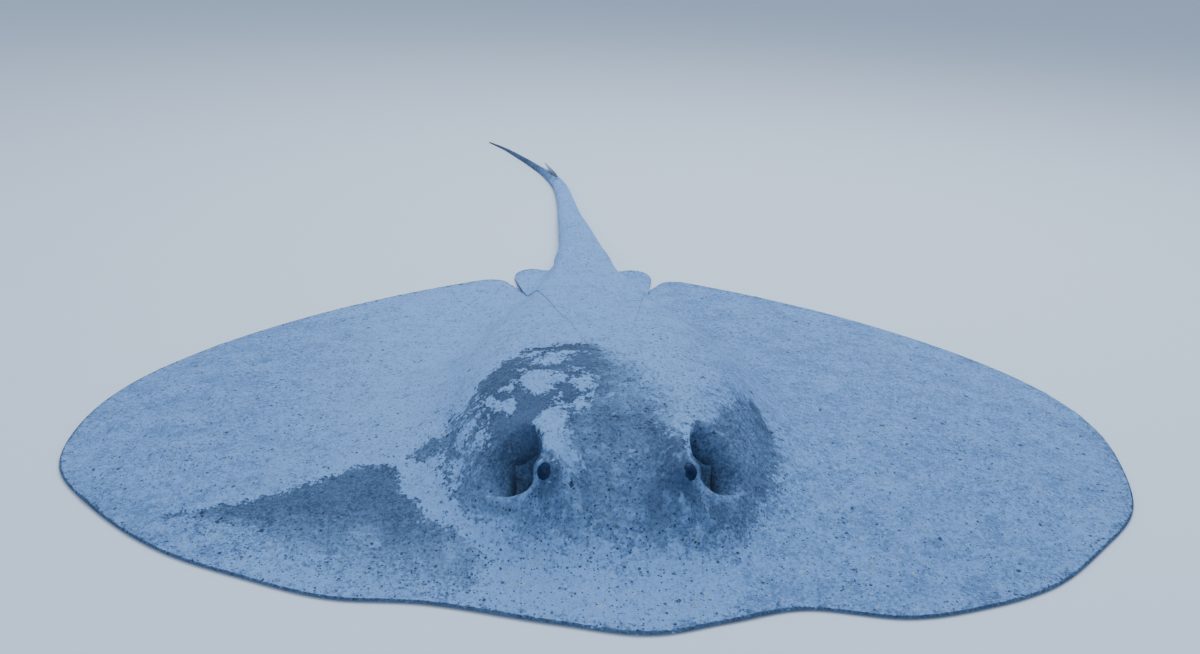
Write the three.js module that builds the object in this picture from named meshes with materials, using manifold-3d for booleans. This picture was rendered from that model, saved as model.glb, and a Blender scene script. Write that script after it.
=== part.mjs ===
// A short-tail stingray lying flat on the floor, life size, in millimetres.
//
// The ray is drawn in its own layout first: x across the disc (+x is the ray's left),
// y from the snout (negative) to the tail (positive), z up from the floor, with the
// zero point on the floor midway between the eyes. The finished group is then moved so
// that the origin is at the middle of the underside of the whole animal.
//
// The disc is one closed shell of spokes and rings. Named heights give its back, plain
// flat skin its belly, and thin kerfs part it into head, trunk and fins.

import * as THREE from 'three';
import { mergeVertices } from 'three/addons/utils/BufferGeometryUtils.js';
import Module from 'manifold-3d';

const wasm = await Module();
wasm.setup();

// ---------------------------------------------------------------- driving dimensions

const DISC_WIDTH = 1200;
const HALF_DISC = DISC_WIDTH / 2;
const KERF = 0.35;

// The hub that all spokes of the disc start from, on the crown of the head.
const HUB = { x: 4, y: 70 };

// The front margins differ: the left one dips and swells where the fin is waved.
const SNOUT_TIP = [24, -136];
const FRONT_LEFT = [[95, -118], [165, -99], [258, -113], [330, -98], [410, -63], [486, 4], [551, 78]];
const FRONT_RIGHT = [[-60, -119], [-175, -88], [-262, -79], [-345, -45], [-432, 2], [-520, 82]];
// The widest stretch and the back margin are the same on both sides.
const SIDE = [[0.975, 172], [1, 285], [0.965, 395], [0.86, 512], [0.69, 633], [0.495, 735]];
const REAR_TIP = [[190, 806], [152, 825], [129, 821], [115, 800]];
const AXIL = [96, 768];
const PELVIC_LOBE = [[104, 802], [110, 842], [101, 872], [80, 882], [62, 868]];
const TAIL_ROOT_Y = 850;

// Thickness of the fin sheet at the margin, and how much it gains toward the hub.
const MARGIN_TOP = 5;
const MARGIN_BOTTOM = 0.6;
const MARGIN_LIFT_FROM = 0.985;
const SHEET_GAIN_FRONT = 18;
const SHEET_GAIN_BACK = 52;
const SHEET_FRONT_Y = -120;
const SHEET_BACK_Y = 180;
const SHEET_POWER = 1.5;

// The body rises from the sheet: along y, its rise above the sheet and its half width.
const BODY_RISE = [
  [-95, 0], [-62, 6], [-40, 22], [-20, 42], [0, 55], [30, 65], [80, 71], [150, 75], [230, 74],
  [320, 68], [450, 55], [600, 45], [750, 40], [TAIL_ROOT_Y, 42],
];
const BODY_HALF_WIDTH = [
  [-95, 66], [-62, 84], [-20, 109], [30, 136], [80, 151], [150, 163], [230, 168], [320, 160],
  [450, 132], [600, 96], [750, 62], [TAIL_ROOT_Y, 47],
];
// Its back is a little rounded, and its flanks stand steep above the fins.
const BODY_CROWN = 0.14;
const BODY_FLANK_POWER = 8;

// Eyes: a long ridge of the skull carries each ball, which looks out to the side.
const EYE = { x: 64, y: 1, z: 87, radius: 12.5 };
const ORBIT = { x: 61, y: 20, rise: 14, halfWidth: 22, halfLength: 42 };

// A short brow round each eye brings the skin up to the top of the ball.
const BROW = { x: 63, y: 0, rise: 10, halfWidth: 19, halfLength: 22 };

// Spiracles: the deep breathing holes behind and outside the eyes.
const SPIRACLE = {
  x: 100, y: 25, z: 82, halfWidth: 21, halfLength: 35, depth: 44, leanInward: 0.35, slant: 0.25,
};

// Tail: centre line on the floor, and half width and height along y.
const TAIL_PATH = [
  [0, TAIL_ROOT_Y], [0, 930], [-5, 1060], [-13, 1190], [-18, 1310], [-28, 1440], [-50, 1540],
  [-78, 1625], [-114, 1722], [-150, 1812], [-190, 1890],
];
const TAIL_HALF_WIDTH = [
  [TAIL_ROOT_Y, 50], [930, 41], [1010, 34.5], [1100, 29], [1200, 22.5], [1310, 18], [1400, 16],
  [1490, 13.5], [1580, 10], [1680, 7], [1800, 4.4], [1890, 1.6],
];
const TAIL_HEIGHT = [
  [TAIL_ROOT_Y, 47], [930, 41], [1010, 36], [1100, 31], [1200, 25.5], [1310, 21.5], [1400, 19.5],
  [1490, 17], [1580, 13], [1680, 9.5], [1800, 6.2], [1890, 2.4],
];
const TAIL_LENGTHS = [
  { name: 'tail_base', from: TAIL_ROOT_Y, to: 1150, rings: 9 },
  { name: 'tail_mid', from: 1150, to: 1450, rings: 9 },
  { name: 'tail_whip', from: 1450, to: 1680, rings: 9 },
  { name: 'tail_tip', from: 1680, to: 1890, rings: 9 },
];
const TAIL_FLAT = 0.55;
const TAIL_SIDES = 18;

// The sting lies along the top of the tail, its root sunk in the skin.
const STING = { rootY: 1466, length: 134, width: 11, thickness: 6, rootZ: 17.5, tipZ: 19.5 };

// Parting lines, in plan.
const NECK = [189, 168];
const NECK_ARCH = 16;
const FIN_LINE_HEAD = [[112, -190], [128, -70], [156, 10], [178, 90]];
const FIN_LINE_TRUNK = [[188, 290], [150, 470], [112, 620], AXIL];
const FIN_LINE_NOTCH = [[109, 800], [118, 832], [130, 880]];

// How finely the shell is divided.
const SPOKES = 96;
const TOP_RINGS = 21;
const BELLY_RINGS = 3;
const RING_EVENNESS = 360;
const SPOKE_BLEND = 0.4;
const REAR_CROWDING = 1.6;
const REAR_CROWDED_Y = [700, 790];

// ---------------------------------------------------------------- small helpers

const smooth = (low, high, value) => {
  const t = THREE.MathUtils.clamp((value - low) / (high - low), 0, 1);
  return t * t * (3 - 2 * t);
};

// A smooth curve through [position, value] stations, held level past both ends.
function along(stations, position) {
  const last = stations.length - 1;
  if (position <= stations[0][0]) return stations[0][1];
  if (position >= stations[last][0]) return stations[last][1];
  let i = 0;
  while (position > stations[i + 1][0]) i += 1;
  const slope = (k) => {
    const a = stations[Math.max(k - 1, 0)];
    const b = stations[Math.min(k + 1, last)];
    return (b[1] - a[1]) / (b[0] - a[0]);
  };
  const [x0, y0] = stations[i];
  const [x1, y1] = stations[i + 1];
  const step = x1 - x0;
  const t = (position - x0) / step;
  const rise = (y1 - y0) * t * t * (3 - 2 * t);
  const ease = step * t * (1 - t) * ((1 - t) * slope(i) - t * slope(i + 1));
  return y0 + rise + ease;
}

const mirror = ([x, y]) => [-x, y];

// ---------------------------------------------------------------- outline of the disc

function marginPoints() {
  const side = SIDE.map(([share, y]) => [share * HALF_DISC, y]);
  const rear = [...side, ...REAR_TIP, AXIL, ...PELVIC_LOBE, [TAIL_HALF_WIDTH[0][1], TAIL_ROOT_Y]];
  const left = [...FRONT_LEFT, ...rear];
  const right = [...FRONT_RIGHT, ...rear.map(mirror)];
  return { left: [SNOUT_TIP, ...left], right: [SNOUT_TIP, ...right] };
}

// Spokes are spread partly by angle, which favours the head, and partly by length of margin,
// and crowd together round the small lobes at the rear.
function spokeEnds() {
  const { left, right } = marginPoints();
  const loop = [...left, ...right.slice(1).reverse()];
  const curve = new THREE.CatmullRomCurve3(
    loop.map(([x, y]) => new THREE.Vector3(x, y, 0)), true, 'centripetal',
  );
  const fine = curve.getPoints(3000);
  const spread = [0];
  let turned = 0;
  let walked = 0;
  const angles = fine.map((p) => Math.atan2(p.y - HUB.y, p.x - HUB.x));
  const perimeter = curve.getLength();
  for (let i = 1; i < fine.length; i += 1) {
    let turn = angles[i] - angles[i - 1];
    if (turn < -Math.PI) turn += 2 * Math.PI;
    turned += turn / (2 * Math.PI);
    const crowding = 1 + REAR_CROWDING * smooth(...REAR_CROWDED_Y, fine[i].y);
    walked += (crowding * fine[i].distanceTo(fine[i - 1])) / perimeter;
    spread.push(SPOKE_BLEND * turned + (1 - SPOKE_BLEND) * walked);
  }
  const total = spread[spread.length - 1];
  const ends = [];
  let i = 0;
  for (let s = 0; s < SPOKES; s += 1) {
    const wanted = (total * s) / SPOKES;
    while (spread[i + 1] < wanted) i += 1;
    const t = (wanted - spread[i]) / (spread[i + 1] - spread[i]);
    ends.push(fine[i].clone().lerp(fine[i + 1], t));
  }
  return ends;
}

// ---------------------------------------------------------------- heights of the back

// share runs from 0 at the hub to 1 at the margin.
function sheetHeight(y, share) {
  const gain = THREE.MathUtils.lerp(
    SHEET_GAIN_FRONT, SHEET_GAIN_BACK, smooth(SHEET_FRONT_Y, SHEET_BACK_Y, y),
  );
  return MARGIN_TOP + gain * (1 - share ** SHEET_POWER);
}

function bodyHeight(x, y) {
  const across = Math.abs(x) / along(BODY_HALF_WIDTH, y);
  const crown = Math.max(1 - BODY_CROWN * across ** 2, 0);
  return (along(BODY_RISE, y) * crown) / (1 + across ** BODY_FLANK_POWER);
}

function ridgeHeight(ridge, x, y) {
  const across = (Math.abs(x) - ridge.x) / ridge.halfWidth;
  const down = (y - ridge.y) / ridge.halfLength;
  return ridge.rise * Math.exp(-across * across - down * down);
}

const backHeight = (x, y, share) =>
  sheetHeight(y, share) + bodyHeight(x, y) + ridgeHeight(ORBIT, x, y) + ridgeHeight(BROW, x, y);

const bellyHeight = (share) => MARGIN_BOTTOM * smooth(MARGIN_LIFT_FROM, 1, share);

// ---------------------------------------------------------------- the shell of the disc

// Rings near the hub are round, and take the margin's outline as they near it.
function ringPoint(end, share) {
  const reach = Math.hypot(end.x - HUB.x, end.y - HUB.y);
  const distance = share * (reach + (RING_EVENNESS - reach) * (1 - share) ** 2);
  const x = HUB.x + ((end.x - HUB.x) * distance) / reach;
  const y = HUB.y + ((end.y - HUB.y) * distance) / reach;
  return { x, y, toMargin: distance / reach };
}

// A closed shell: a hub point, rings over the back, the margin's wall, and rings below.
function discShell() {
  const ends = spokeEnds();
  const points = [{ ...HUB, z: backHeight(HUB.x, HUB.y, 0), toMargin: 0 }];
  const addRing = (share, heightAt) => {
    ends.forEach((end) => {
      const p = ringPoint(end, share);
      points.push({ ...p, z: heightAt(p) });
    });
  };
  for (let k = 1; k <= TOP_RINGS; k += 1) {
    addRing(k / TOP_RINGS, ({ x, y, toMargin }) => backHeight(x, y, toMargin));
  }
  const bellyShares = [1, MARGIN_LIFT_FROM];
  for (let k = BELLY_RINGS - 1; k > 0; k -= 1) bellyShares.push(k / BELLY_RINGS);
  bellyShares.forEach((share) => addRing(share, ({ toMargin }) => bellyHeight(toMargin)));
  points.push({ ...HUB, z: 0 });

  // How far the middle of an edge between two points lies off the curved back.
  const offBack = (i, j) => {
    const [p, q] = [points[i], points[j]];
    const middle = (key) => (p[key] + q[key]) / 2;
    return Math.abs(middle('z') - backHeight(middle('x'), middle('y'), middle('toMargin')));
  };
  const rings = TOP_RINGS + bellyShares.length;
  const at = (ring, spoke) => 1 + ring * SPOKES + (spoke % SPOKES);
  const lastPoint = points.length - 1;
  const faces = [];
  for (let s = 0; s < SPOKES; s += 1) {
    faces.push(0, at(0, s), at(0, s + 1));
    faces.push(lastPoint, at(rings - 1, s + 1), at(rings - 1, s));
    for (let r = 0; r < rings - 1; r += 1) {
      const [inner, outer] = [at(r, s), at(r + 1, s)];
      const [nextInner, nextOuter] = [at(r, s + 1), at(r + 1, s + 1)];
      const onBack = r < TOP_RINGS - 1;
      if (onBack && offBack(outer, nextInner) < offBack(inner, nextOuter)) {
        faces.push(inner, outer, nextInner, nextInner, outer, nextOuter);
      } else {
        faces.push(inner, outer, nextOuter, inner, nextOuter, nextInner);
      }
    }
  }
  return closedGeometry(points.flatMap(({ x, y, z }) => [x, y, z]), faces);
}

function closedGeometry(positions, faces) {
  const geometry = new THREE.BufferGeometry();
  geometry.setAttribute('position', new THREE.Float32BufferAttribute(positions, 3));
  geometry.setIndex(faces);
  return geometry;
}

// ---------------------------------------------------------------- solids and cuts

function solid(geometry) {
  const bare = geometry.clone();
  bare.deleteAttribute('normal');
  bare.deleteAttribute('uv');
  const merged = mergeVertices(bare, 1e-4);
  return new wasm.Manifold(new wasm.Mesh({
    numProp: 3,
    vertProperties: new Float32Array(merged.attributes.position.array),
    triVerts: new Uint32Array(merged.index.array),
  }));
}

function geometryOf(body) {
  const mesh = body.getMesh();
  return closedGeometry(Array.from(mesh.vertProperties), Array.from(mesh.triVerts));
}

// A prism standing through the whole thickness of the animal, over a plan of [x, y] points.
function prism(plan) {
  const below = -20;
  const tall = 260;
  const shape = new THREE.Shape(plan.map(([x, y]) => new THREE.Vector2(x, y)));
  const geometry = new THREE.ExtrudeGeometry(shape, { depth: tall, bevelEnabled: false });
  geometry.translate(0, 0, below);
  return solid(geometry);
}

// A kerf: a thin upright blade along a line of [x, y] points.
function blade(line) {
  const edges = [[], []];
  line.forEach(([x, y], i) => {
    const a = line[Math.max(i - 1, 0)];
    const b = line[Math.min(i + 1, line.length - 1)];
    const run = Math.hypot(b[0] - a[0], b[1] - a[1]);
    const nx = (-(b[1] - a[1]) / run) * (KERF / 2);
    const ny = ((b[0] - a[0]) / run) * (KERF / 2);
    edges[0].push([x + nx, y + ny]);
    edges[1].unshift([x - nx, y - ny]);
  });
  return prism([...edges[0], ...edges[1]]);
}

function ellipsoid(halfSizes, place, turn) {
  const geometry = new THREE.SphereGeometry(1, 20, 12);
  geometry.scale(...halfSizes);
  geometry.applyMatrix4(new THREE.Matrix4().makeRotationFromEuler(turn));
  geometry.translate(...place);
  return solid(geometry);
}

// side is +1 for the ray's left and -1 for its right.
function spiracleHole(side) {
  const turn = new THREE.Euler(0, side * SPIRACLE.leanInward, side * SPIRACLE.slant);
  const halfSizes = [SPIRACLE.halfWidth, SPIRACLE.halfLength, SPIRACLE.depth];
  return ellipsoid(halfSizes, [side * SPIRACLE.x, SPIRACLE.y, SPIRACLE.z], turn);
}

function eyeBall(side, radius) {
  const geometry = new THREE.SphereGeometry(radius, 16, 10);
  geometry.translate(side * EYE.x, EYE.y, EYE.z);
  return geometry;
}

// ---------------------------------------------------------------- parts of the disc

function discParts() {
  const far = 2 * HALF_DISC;
  const behind = FIN_LINE_NOTCH[FIN_LINE_NOTCH.length - 1][1];
  const rootCorner = [TAIL_HALF_WIDTH[0][1], TAIL_ROOT_Y];
  const rootBehind = [rootCorner[0], behind];
  const finLine = [...FIN_LINE_HEAD, NECK, ...FIN_LINE_TRUNK, ...FIN_LINE_NOTCH];
  const neckLine = [NECK, [0, NECK[1] - NECK_ARCH], mirror(NECK)];

  let shell = solid(discShell()).subtract(blade(neckLine));
  [1, -1].forEach((side) => {
    const place = ([x, y]) => [side * x, y];
    shell = shell.subtract(blade(finLine.map(place)));
    shell = shell.subtract(blade([AXIL, rootCorner, rootBehind].map(place)));
    shell = shell.subtract(spiracleHole(side));
    shell = shell.subtract(solid(eyeBall(side, EYE.radius + KERF)));
  });

  const headPlan = [...FIN_LINE_HEAD, ...neckLine, ...FIN_LINE_HEAD.map(mirror).reverse()];
  const trunkSide = [...FIN_LINE_TRUNK, rootCorner];
  const trunkPlan = [...trunkSide, ...trunkSide.map(mirror).reverse(), ...[...neckLine].reverse()];
  const finPlan = [...finLine, [far, behind], [far, -far]];
  const pelvicPlan = [AXIL, ...FIN_LINE_NOTCH, rootBehind, rootCorner];

  const parts = {
    head: shell.intersect(prism(headPlan)),
    trunk: shell.intersect(prism(trunkPlan)),
  };
  [['left', (p) => p], ['right', mirror]].forEach(([name, place]) => {
    parts[`pectoral_fin_${name}`] = shell.intersect(prism(finPlan.map(place)));
    parts[`pelvic_fin_${name}`] = shell.intersect(prism(pelvicPlan.map(place)));
  });
  return parts;
}

// ---------------------------------------------------------------- tail and sting

const tailCurve = new THREE.CatmullRomCurve3(
  TAIL_PATH.map(([x, y]) => new THREE.Vector3(x, y, 0)), false, 'centripetal',
);

// The centre line's point and heading where it passes y.
function tailAt(y) {
  let low = 0;
  let high = 1;
  for (let i = 0; i < 40; i += 1) {
    const middle = (low + high) / 2;
    if (tailCurve.getPoint(middle).y < y) low = middle;
    else high = middle;
  }
  const t = (low + high) / 2;
  return { centre: tailCurve.getPoint(t), heading: tailCurve.getTangent(t) };
}

// One section of the tail: round above, with a narrow flat to lie on.
function tailRing(y) {
  const { centre, heading } = tailAt(y);
  const halfWidth = along(TAIL_HALF_WIDTH, y);
  const height = along(TAIL_HEIGHT, y);
  const ring = [];
  for (let k = 0; k < TAIL_SIDES; k += 1) {
    const angle = (2 * Math.PI * (k + 0.5)) / TAIL_SIDES;
    const across = Math.cos(angle) * halfWidth;
    const up = Math.max(Math.sin(angle), -TAIL_FLAT);
    const z = ((up + TAIL_FLAT) / (1 + TAIL_FLAT)) * height;
    ring.push([centre.x + heading.y * across, centre.y - heading.x * across, z]);
  }
  return ring;
}

function tailLength({ from, to, rings }) {
  const positions = [];
  for (let r = 0; r < rings; r += 1) {
    const y = THREE.MathUtils.lerp(from + KERF, to, r / (rings - 1));
    tailRing(y).forEach((point) => positions.push(...point));
  }
  const faces = [];
  const at = (ring, k) => ring * TAIL_SIDES + (k % TAIL_SIDES);
  for (let k = 0; k < TAIL_SIDES; k += 1) {
    for (let r = 0; r < rings - 1; r += 1) {
      faces.push(at(r, k), at(r + 1, k), at(r + 1, k + 1));
      faces.push(at(r, k), at(r + 1, k + 1), at(r, k + 1));
    }
    if (k > 0 && k < TAIL_SIDES - 1) {
      faces.push(at(0, 0), at(0, k), at(0, k + 1));
      faces.push(at(rings - 1, 0), at(rings - 1, k + 1), at(rings - 1, k));
    }
  }
  return closedGeometry(positions, faces);
}

// A flat dagger, ridged along the top, its root slimmer than its blade.
function stingBlade(spare) {
  const half = STING.width / 2 + spare;
  const outline = new THREE.Shape();
  outline.moveTo(-half * 0.7, -spare);
  outline.lineTo(half * 0.7, -spare);
  outline.lineTo(half, STING.length * 0.25);
  outline.quadraticCurveTo(half * 0.95, STING.length * 0.75, 0.4 + spare, STING.length + spare);
  outline.lineTo(-0.4 - spare, STING.length + spare);
  outline.quadraticCurveTo(-half * 0.95, STING.length * 0.75, -half, STING.length * 0.25);
  const thickness = STING.thickness + 2 * spare;
  const geometry = new THREE.ExtrudeGeometry(outline, {
    depth: thickness, bevelEnabled: false, curveSegments: 6,
  });
  geometry.translate(0, 0, -thickness / 2);
  const { centre, heading } = tailAt(STING.rootY);
  const climb = Math.atan2(STING.tipZ - STING.rootZ, STING.length);
  geometry.rotateX(climb);
  geometry.rotateZ(Math.atan2(-heading.x, heading.y));
  geometry.translate(centre.x, centre.y, STING.rootZ);
  return geometry;
}

// ---------------------------------------------------------------- the whole ray

const paint = (color, roughness) => new THREE.MeshStandardMaterial({ color, roughness, metalness: 0 });
const BARE_SKIN = paint(0x4c5b72, 0.55);
const DUSTED_SKIN = paint(0x8b9bb4, 0.85);
const DARK_SKIN = paint(0x39475b, 0.6);
const EYE_GLOSS = paint(0x0c1014, 0.1);
const STING_BONE = paint(0xa9a08c, 0.5);

const PAINT_OF = {
  head: BARE_SKIN,
  tail_whip: DARK_SKIN,
  tail_tip: DARK_SKIN,
};

function stingray() {
  const ray = new THREE.Group();
  const add = (name, geometry, material) => {
    const mesh = new THREE.Mesh(geometry, material);
    mesh.name = name;
    ray.add(mesh);
  };
  Object.entries(discParts()).forEach(([name, body]) => {
    add(name, geometryOf(body), PAINT_OF[name] ?? DUSTED_SKIN);
  });
  const groove = solid(stingBlade(KERF));
  TAIL_LENGTHS.forEach((length) => {
    const body = solid(tailLength(length)).subtract(groove);
    add(length.name, geometryOf(body), PAINT_OF[length.name] ?? DUSTED_SKIN);
  });
  add('sting', geometryOf(solid(stingBlade(0))), STING_BONE);
  add('eye_left', geometryOf(solid(eyeBall(1, EYE.radius))), EYE_GLOSS);
  add('eye_right', geometryOf(solid(eyeBall(-1, EYE.radius))), EYE_GLOSS);

  const box = new THREE.Box3().setFromObject(ray);
  const middle = box.getCenter(new THREE.Vector3());
  ray.position.set(-middle.x, -middle.y, -box.min.z);
  return ray;
}

export default stingray();
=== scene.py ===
# %% [markdown]
# # A stingray lying flat
#
# A ray is a fish pressed flat: a head that rises between two broad fins, a trunk that
# sinks into the tail, and a tail that thins to a whip. Here it lies on its belly with
# fine pale sand still on its back. One mesh is the whole skin, because a live animal
# has no seams, and the eyes and the sting are pieces of their own, because they are.
#
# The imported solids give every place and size. They are loaded first and never moved.

# %% Load the solids
import itertools
import math

import bpy
import numpy as np
from mathutils import Matrix, Vector


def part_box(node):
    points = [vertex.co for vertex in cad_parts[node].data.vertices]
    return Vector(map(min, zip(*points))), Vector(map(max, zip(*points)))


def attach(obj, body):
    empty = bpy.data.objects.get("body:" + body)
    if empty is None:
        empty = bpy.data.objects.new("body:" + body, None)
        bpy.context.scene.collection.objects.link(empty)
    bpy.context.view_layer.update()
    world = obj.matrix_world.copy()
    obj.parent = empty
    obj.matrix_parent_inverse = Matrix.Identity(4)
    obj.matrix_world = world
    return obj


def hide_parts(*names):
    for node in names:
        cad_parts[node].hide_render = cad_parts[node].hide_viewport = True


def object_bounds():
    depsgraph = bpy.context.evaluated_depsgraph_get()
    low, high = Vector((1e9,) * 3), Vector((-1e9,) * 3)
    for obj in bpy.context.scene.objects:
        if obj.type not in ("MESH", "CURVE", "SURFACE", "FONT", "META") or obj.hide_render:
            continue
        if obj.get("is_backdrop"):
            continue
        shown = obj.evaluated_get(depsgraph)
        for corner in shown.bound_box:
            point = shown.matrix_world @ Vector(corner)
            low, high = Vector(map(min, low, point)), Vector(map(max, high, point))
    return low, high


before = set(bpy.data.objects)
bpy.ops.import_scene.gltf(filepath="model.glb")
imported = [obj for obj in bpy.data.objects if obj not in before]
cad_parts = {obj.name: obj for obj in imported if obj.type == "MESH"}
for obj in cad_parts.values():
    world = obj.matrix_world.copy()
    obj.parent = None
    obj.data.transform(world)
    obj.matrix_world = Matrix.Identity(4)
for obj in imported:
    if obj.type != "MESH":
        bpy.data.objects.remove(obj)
cad_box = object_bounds()
print("solids:", sorted(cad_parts))
print("their box:", [round(v, 3) for v in (*cad_box[0], *cad_box[1])])

# %% [markdown]
# ## One layout for the whole animal
#
# The drawing is easier in millimetres, with the zero point on the floor midway between
# the eyes: x across the disc to the ray's left, y from the snout to the tail, z up. The
# eye solids say where that point lies in the frame, and one function turns drawn points
# into Blender's metres.

# %% Where the layout lies in the frame
MM = 0.001
EYE_LINE_Y = 1.0


def box_middle(node):
    low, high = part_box(node)
    return (low + high) / 2


eye_middles = {1: box_middle("eye_left"), -1: box_middle("eye_right")}
eye_spot = (eye_middles[1] + eye_middles[-1]) / 2
layout_zero = np.array([eye_spot.x, eye_spot.y - EYE_LINE_Y * MM, 0.0])


def in_metres(points):
    return np.asarray(points, float) * MM + layout_zero


def in_layout(point):
    return (np.asarray(point, float) - layout_zero) / MM


print("layout's zero point:", layout_zero.round(4))

# %% [markdown]
# ## Camera, floor and light
#
# The camera stands a metre in front of the eyes, 0.6 m up and a little to the ray's
# right. It looks down along the back and is tipped very slightly. Its place is a real
# place in the layout, so the picture follows from it. A pale blue room gives an even
# light, as shallow water does, one wide soft lamp overhead adds shape, and a weaker one
# in front keeps the face readable.

# %% Camera
CAMERA_PLACE = (-80.5, -1004.9, 609.5)
CAMERA_PITCH = math.radians(20.5)
CAMERA_YAW = math.radians(3.43)
CAMERA_ROLL = math.radians(1.8)

camera_data = bpy.data.cameras.new("camera")
camera_data.sensor_width = 36
camera_data.lens = 36
camera_data.clip_end = 50
camera = bpy.data.objects.new("camera", camera_data)
camera.matrix_world = (
    Matrix.Translation(Vector(in_metres(CAMERA_PLACE)))
    @ Matrix.Rotation(-CAMERA_YAW, 4, "Z")
    @ Matrix.Rotation(math.pi / 2 - CAMERA_PITCH, 4, "X")
    @ Matrix.Rotation(CAMERA_ROLL, 4, "Z")
)
bpy.context.scene.collection.objects.link(camera)
bpy.context.scene.camera = camera
print("camera at", [round(v, 3) for v in camera.location])

# %% Floor and lamps
FLOOR_SIZE = 24.0
FLOOR_COLOUR = (0.62, 0.66, 0.72, 1)
ROOM_COLOUR = (0.50, 0.64, 0.86, 1)
COOL_WHITE = (0.80, 0.91, 1.0)
LAMP_TARGET = Vector((0, -0.5, 0.05))


def soft_lamp(name, place, size, watts, colour):
    data = bpy.data.lights.new(name, "AREA")
    data.shape = "RECTANGLE"
    data.size, data.size_y = size
    data.energy = watts
    data.color = colour
    lamp = bpy.data.objects.new(name, data)
    lamp.location = place
    lamp.rotation_euler = (LAMP_TARGET - lamp.location).to_track_quat("-Z", "Y").to_euler()
    bpy.context.scene.collection.objects.link(lamp)
    return lamp


floor_finish = bpy.data.materials.new("plain_floor")
floor_finish.use_nodes = True
floor_shader = floor_finish.node_tree.nodes["Principled BSDF"]
floor_shader.inputs["Base Color"].default_value = FLOOR_COLOUR
floor_shader.inputs["Roughness"].default_value = 0.9

half = FLOOR_SIZE / 2
floor_mesh = bpy.data.meshes.new("floor")
floor_corners = [(-half, -half, 0), (half, -half, 0), (half, half, 0), (-half, half, 0)]
floor_mesh.from_pydata(floor_corners, [], [(0, 1, 2, 3)])
floor_mesh.materials.append(floor_finish)
floor = bpy.data.objects.new("floor", floor_mesh)
bpy.context.scene.collection.objects.link(floor)
floor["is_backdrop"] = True

lamps = [
    soft_lamp("lamp_above", (0.5, 0.5, 2.6), (2.6, 2.0), 96, COOL_WHITE),
    soft_lamp("lamp_front", (-1.6, -3.2, 1.5), (2.0, 1.2), 30, COOL_WHITE),
]
world = bpy.data.worlds.new("soft_room")
world.use_nodes = True
room = world.node_tree.nodes["Background"]
room.inputs["Color"].default_value = ROOM_COLOUR
room.inputs["Strength"].default_value = 0.95
bpy.context.scene.world = world
print("lamps:", [lamp.name for lamp in lamps])

# %% [markdown]
# ## Curves and noise to draw with
#
# A few small tools do most of the drawing. `along` reads a smooth value off a few
# stations, such as the body's height at some y. `smooth` is a soft step, and `hump` a
# soft bump. `cloud` is gentle random relief: random numbers on a coarse lattice, blended
# between its points, and added up at several sizes. `lumps` is a cloud of some height.

# %% Drawing tools
LATTICE = 32
LAYER_SHIFT = 7.3


def smooth(low, high, value):
    share = np.clip((value - low) / (high - low), 0, 1)
    return share * share * (3 - 2 * share)


def along(stations, position):
    """A smooth curve through (position, value) stations, level past both ends."""
    at, value = np.array(stations, float).T
    slope = np.empty(len(at))
    slope[1:-1] = (value[2:] - value[:-2]) / (at[2:] - at[:-2])
    slope[0] = (value[1] - value[0]) / (at[1] - at[0])
    slope[-1] = (value[-1] - value[-2]) / (at[-1] - at[-2])
    position = np.clip(position, at[0], at[-1])
    here = np.clip(np.searchsorted(at, position, side="right") - 1, 0, len(at) - 2)
    step = at[here + 1] - at[here]
    share = (position - at[here]) / step
    rise = (value[here + 1] - value[here]) * share * share * (3 - 2 * share)
    bend = (1 - share) * slope[here] - share * slope[here + 1]
    return value[here] + rise + step * share * (1 - share) * bend


def cloud(points, size, seed, layers=3):
    """Smooth random relief from about -1 to 1, whose largest lumps are one size across."""
    lattice = np.random.default_rng(seed).uniform(-1, 1, (LATTICE,) * 3)
    total = np.zeros(points.shape[:-1])
    for layer in range(layers):
        scaled = points * 2**layer / size + LAYER_SHIFT * layer
        base = np.floor(scaled).astype(int)
        part = scaled - base
        part = part * part * (3 - 2 * part)
        for corner in itertools.product((0, 1), repeat=3):
            share = np.prod(np.where(corner, part, 1 - part), axis=-1)
            x, y, z = np.moveaxis((base + corner) % LATTICE, -1, 0)
            total += share * lattice[x, y, z] / 2**layer
    return total


def lumps(points, height, size, seed, layers):
    return height * cloud(points, size, seed, layers)


def hump(distance):
    return np.exp(-(distance**2))


def on_floor(x, y):
    """Points at height zero, for noise that depends on the plan only."""
    return np.stack([x, y, np.zeros_like(x)], axis=-1)


print("the middle of a soft step:", float(smooth(0, 1, 0.5)))

# %% [markdown]
# ## The outline of the disc
#
# Seen from above the disc is a blunt lozenge with round corners. A closed curve runs
# through a few points of the margin: the snout, the waved front edges, the wide side,
# the rounded rear tip of each fin, the notch behind it, and the small pelvic lobe beside
# the root of the tail. The same kind of curve drew the solids, so the two agree.

# %% Margin
DISC_HALF = (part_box("pectoral_fin_left")[1].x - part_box("pectoral_fin_right")[0].x) / 2 / MM
TAIL_ROOT_Y = 850
TAIL_ROOT_HALF = 50
HUB = np.array([4.0, 70.0])

SNOUT_TIP = [(24, -136)]
FRONT_LEFT = [(95, -118), (165, -99), (258, -113), (330, -98), (410, -63), (486, 4), (551, 78)]
FRONT_RIGHT = [(-60, -119), (-175, -88), (-262, -79), (-345, -45), (-432, 2), (-520, 82)]
SIDE_SHARES = [(0.975, 172), (1, 285), (0.965, 395), (0.86, 512), (0.69, 633), (0.495, 735)]
REAR_TIP = [(190, 806), (152, 825), (129, 821), (115, 800)]
AXIL = [(96, 768)]
PELVIC_LOBE = [(104, 802), (110, 842), (101, 872), (80, 882), (62, 868)]

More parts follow.
